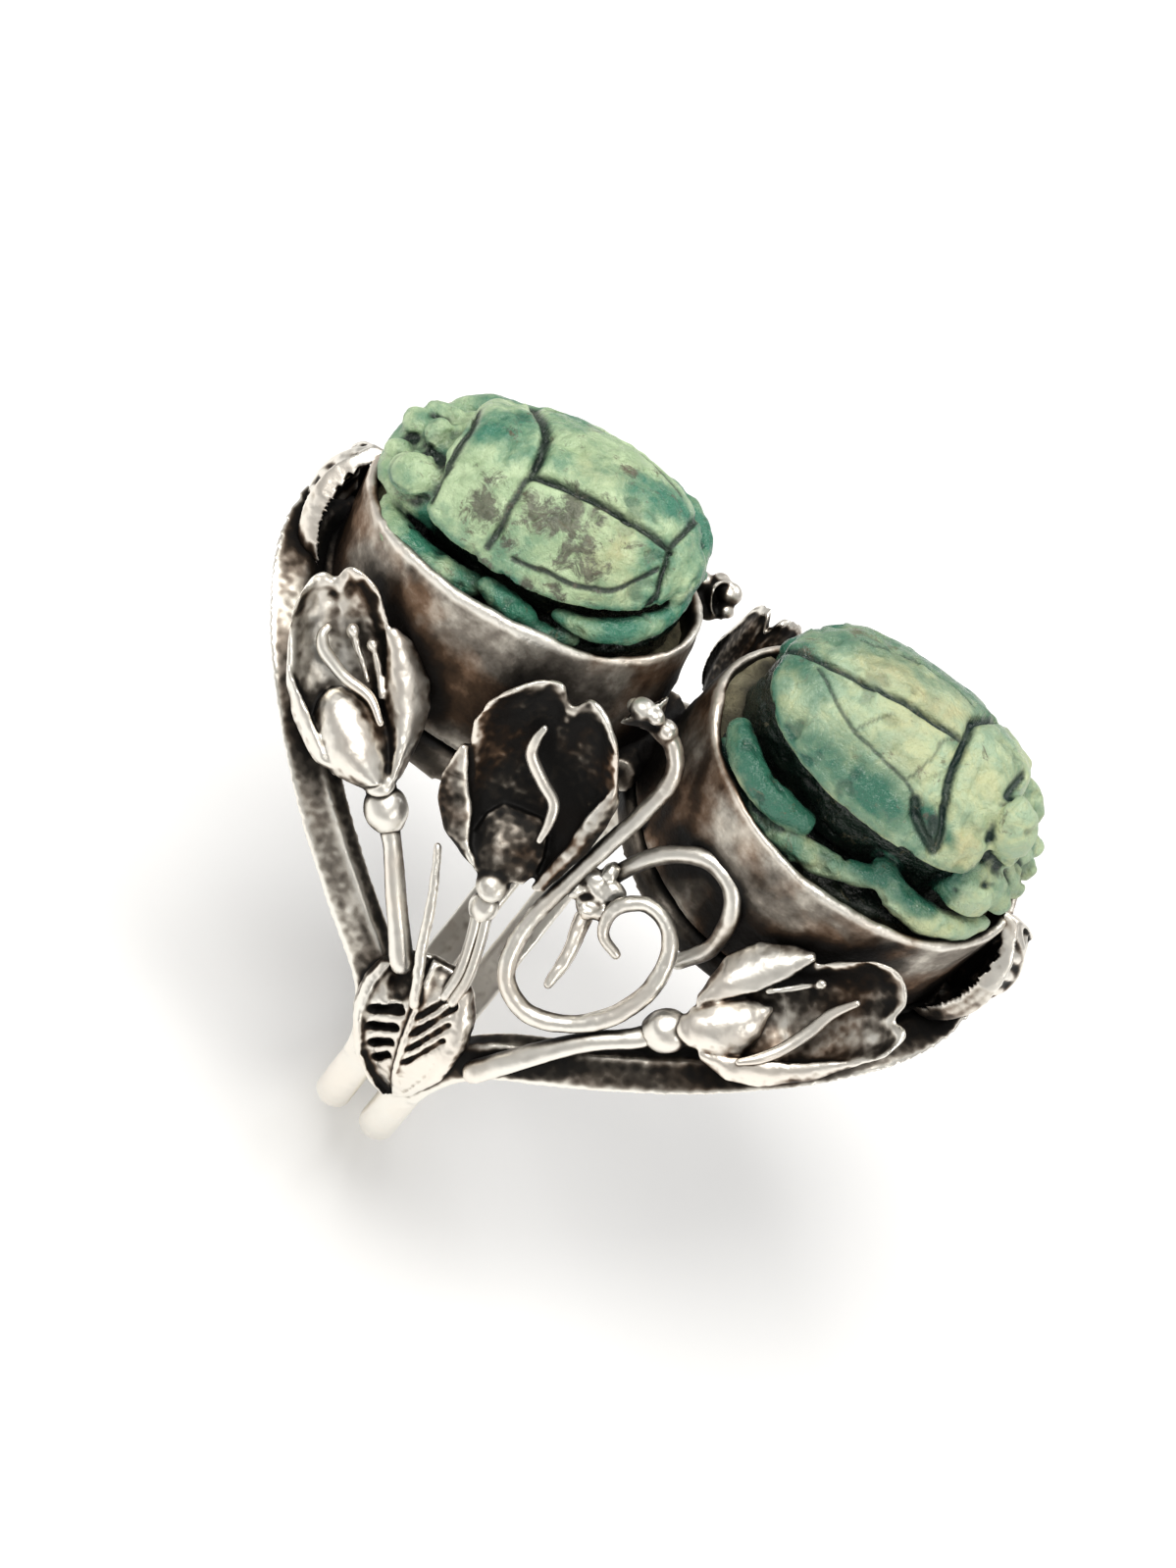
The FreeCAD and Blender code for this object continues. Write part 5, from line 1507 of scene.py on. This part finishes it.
make_left_scarab()
make_right_scarab()
make_bezels()
same = {"left": "left", "middle": "middle", "right": "right"}
turned = {"left": "right", "middle": "middle", "right": "left"}
# The near middle flower takes the darker silver as painted shade; the far middle flower takes the ornament
# silver.
for prefix, turn, names, scroll_top, places, middle_silver in (
    ("near", Matrix.Identity(4), same, NEAR_SCROLL_TOP, NEAR_PLACES, SHADOWED),
    ("far", HALF_TURN, turned, FAR_SCROLL_TOP, FAR_PLACES, ORNAMENT),
):
    make_wires(prefix, turn, names, scroll_top, places["middle"][0])
    make_flowers(prefix, turn, names, places, middle_silver)
    make_shoulder_leaf(prefix, turn)
for side, seed in (("left", 41), ("right", 47)):
    worn_copy(side + "_hoop", side + "_band", BAND, "band_silver", 0.07, 14, seed)
    worn_copy(side + "_plate", side + "_bezel_base", SOLDER, "dark_silver", 0.13, 2, seed + 5)
make_end_leaf("left", LEFT_BEZEL, LEFT_HALF[0], 61, 0.4)
make_end_leaf("right", RIGHT_BEZEL, RIGHT_HALF[0], 67, 0.14)
worn_copy("joint_solder", "bezel_joint", SOLDER, "dark_silver", 0.09, 3, 53, 0.1)
shade_all()
for item in made:
    item.data.transform(Matrix.Scale(MM, 4))
    item.data.update()


# Camera, floor and light

PITCH = math.radians(40)
DISTANCE = 150  # from the finger's axis
LENS = 4200  # in pixels of the photograph
HALF_HEIGHT = 799.5  # of the photograph, in pixels
ACROSS, UP = -0.63, 5.42  # the place that the camera looks at, seen from the photograph's side
FLOOR_LEVEL = -9.65
FLOOR_HALF = 0.6  # in metres
FLOOR_GLOW = 0.18
WORLD_STRENGTH = 0.38
RIGHT_WAY = Vector((0.785, 0.62 * math.sin(PITCH), 0.62 * math.cos(PITCH)))
UP_WAY = Vector((-0.62, 0.785 * math.sin(PITCH), 0.785 * math.cos(PITCH)))
BACK_WAY = Vector((0, -math.cos(PITCH), math.sin(PITCH)))
stand = Vector((ACROSS, 0, 0)) + UP * Vector((0, math.sin(PITCH), math.cos(PITCH))) + DISTANCE * BACK_WAY
camera_data = bpy.data.cameras.new("camera")
camera_data.sensor_fit = "VERTICAL"
camera_data.angle = 2 * math.atan(HALF_HEIGHT / LENS)
camera_data.clip_start = 0.005
camera = bpy.data.objects.new("camera", camera_data)
turn = Matrix((RIGHT_WAY.normalized(), UP_WAY.normalized(), BACK_WAY)).transposed().to_4x4()
camera.matrix_world = Matrix.Translation(stand * MM) @ turn
bpy.context.scene.collection.objects.link(camera)
bpy.context.scene.camera = camera

corners = [(x * FLOOR_HALF, y * FLOOR_HALF, 0) for x, y in ((-1, -1), (1, -1), (1, 1), (-1, 1))]
floor_mesh = mesh_of(corners, [(0, 1, 2, 3)])
floor = bpy.data.objects.new("floor", floor_mesh)
floor.location = (0, 0, FLOOR_LEVEL * MM)
bpy.context.scene.collection.objects.link(floor)
floor_material, floor_tree, floor_surface = shader("floor_white")
floor_surface.inputs["Base Color"].default_value = (0.93, 0.93, 0.93, 1)
floor_surface.inputs["Roughness"].default_value = 0.8
seen = floor_tree.nodes.new("ShaderNodeLightPath").outputs
rays = ("Is Camera Ray", "Is Glossy Ray", "Is Transmission Ray")
shown = total(floor_tree, *[seen[ray] for ray in rays], clamp=True)
floor_surface.inputs["Emission Color"].default_value = (1, 1, 1, 1)
floor_tree.links.new(times(floor_tree, shown, FLOOR_GLOW), floor_surface.inputs["Emission Strength"])
floor_mesh.materials.append(floor_material)

world = bpy.data.worlds.new("studio")
world.use_nodes = True
bpy.context.scene.world = world
sky = world.node_tree.nodes["Background"].inputs
sky["Color"].default_value = (1.0, 0.985, 0.96, 1)
sky["Strength"].default_value = WORLD_STRENGTH


def lamp(name, at, size, power, colour=(1, 1, 1)):
    """A soft lamp that looks at the ring."""
    data = bpy.data.lights.new(name, "AREA")
    data.shape = "RECTANGLE"
    data.size, data.size_y = size
    data.energy = power
    data.color = colour
    item = bpy.data.objects.new(name, data)
    item.location = at
    item.rotation_euler = (Vector((0, 0, 0.008)) - Vector(at)).to_track_quat("-Z", "Y").to_euler()
    bpy.context.scene.collection.objects.link(item)


lamp("key", (-0.08, -0.10, 0.32), (0.20, 0.20), 0.78, (1, 0.985, 0.95))
lamp("back", (0.10, 0.20, 0.26), (0.14, 0.14), 0.26)
lamp("side", (0.24, -0.14, 0.16), (0.08, 0.14), 0.16, (1, 0.97, 0.92))

bpy.context.scene.view_settings.view_transform = "Standard"
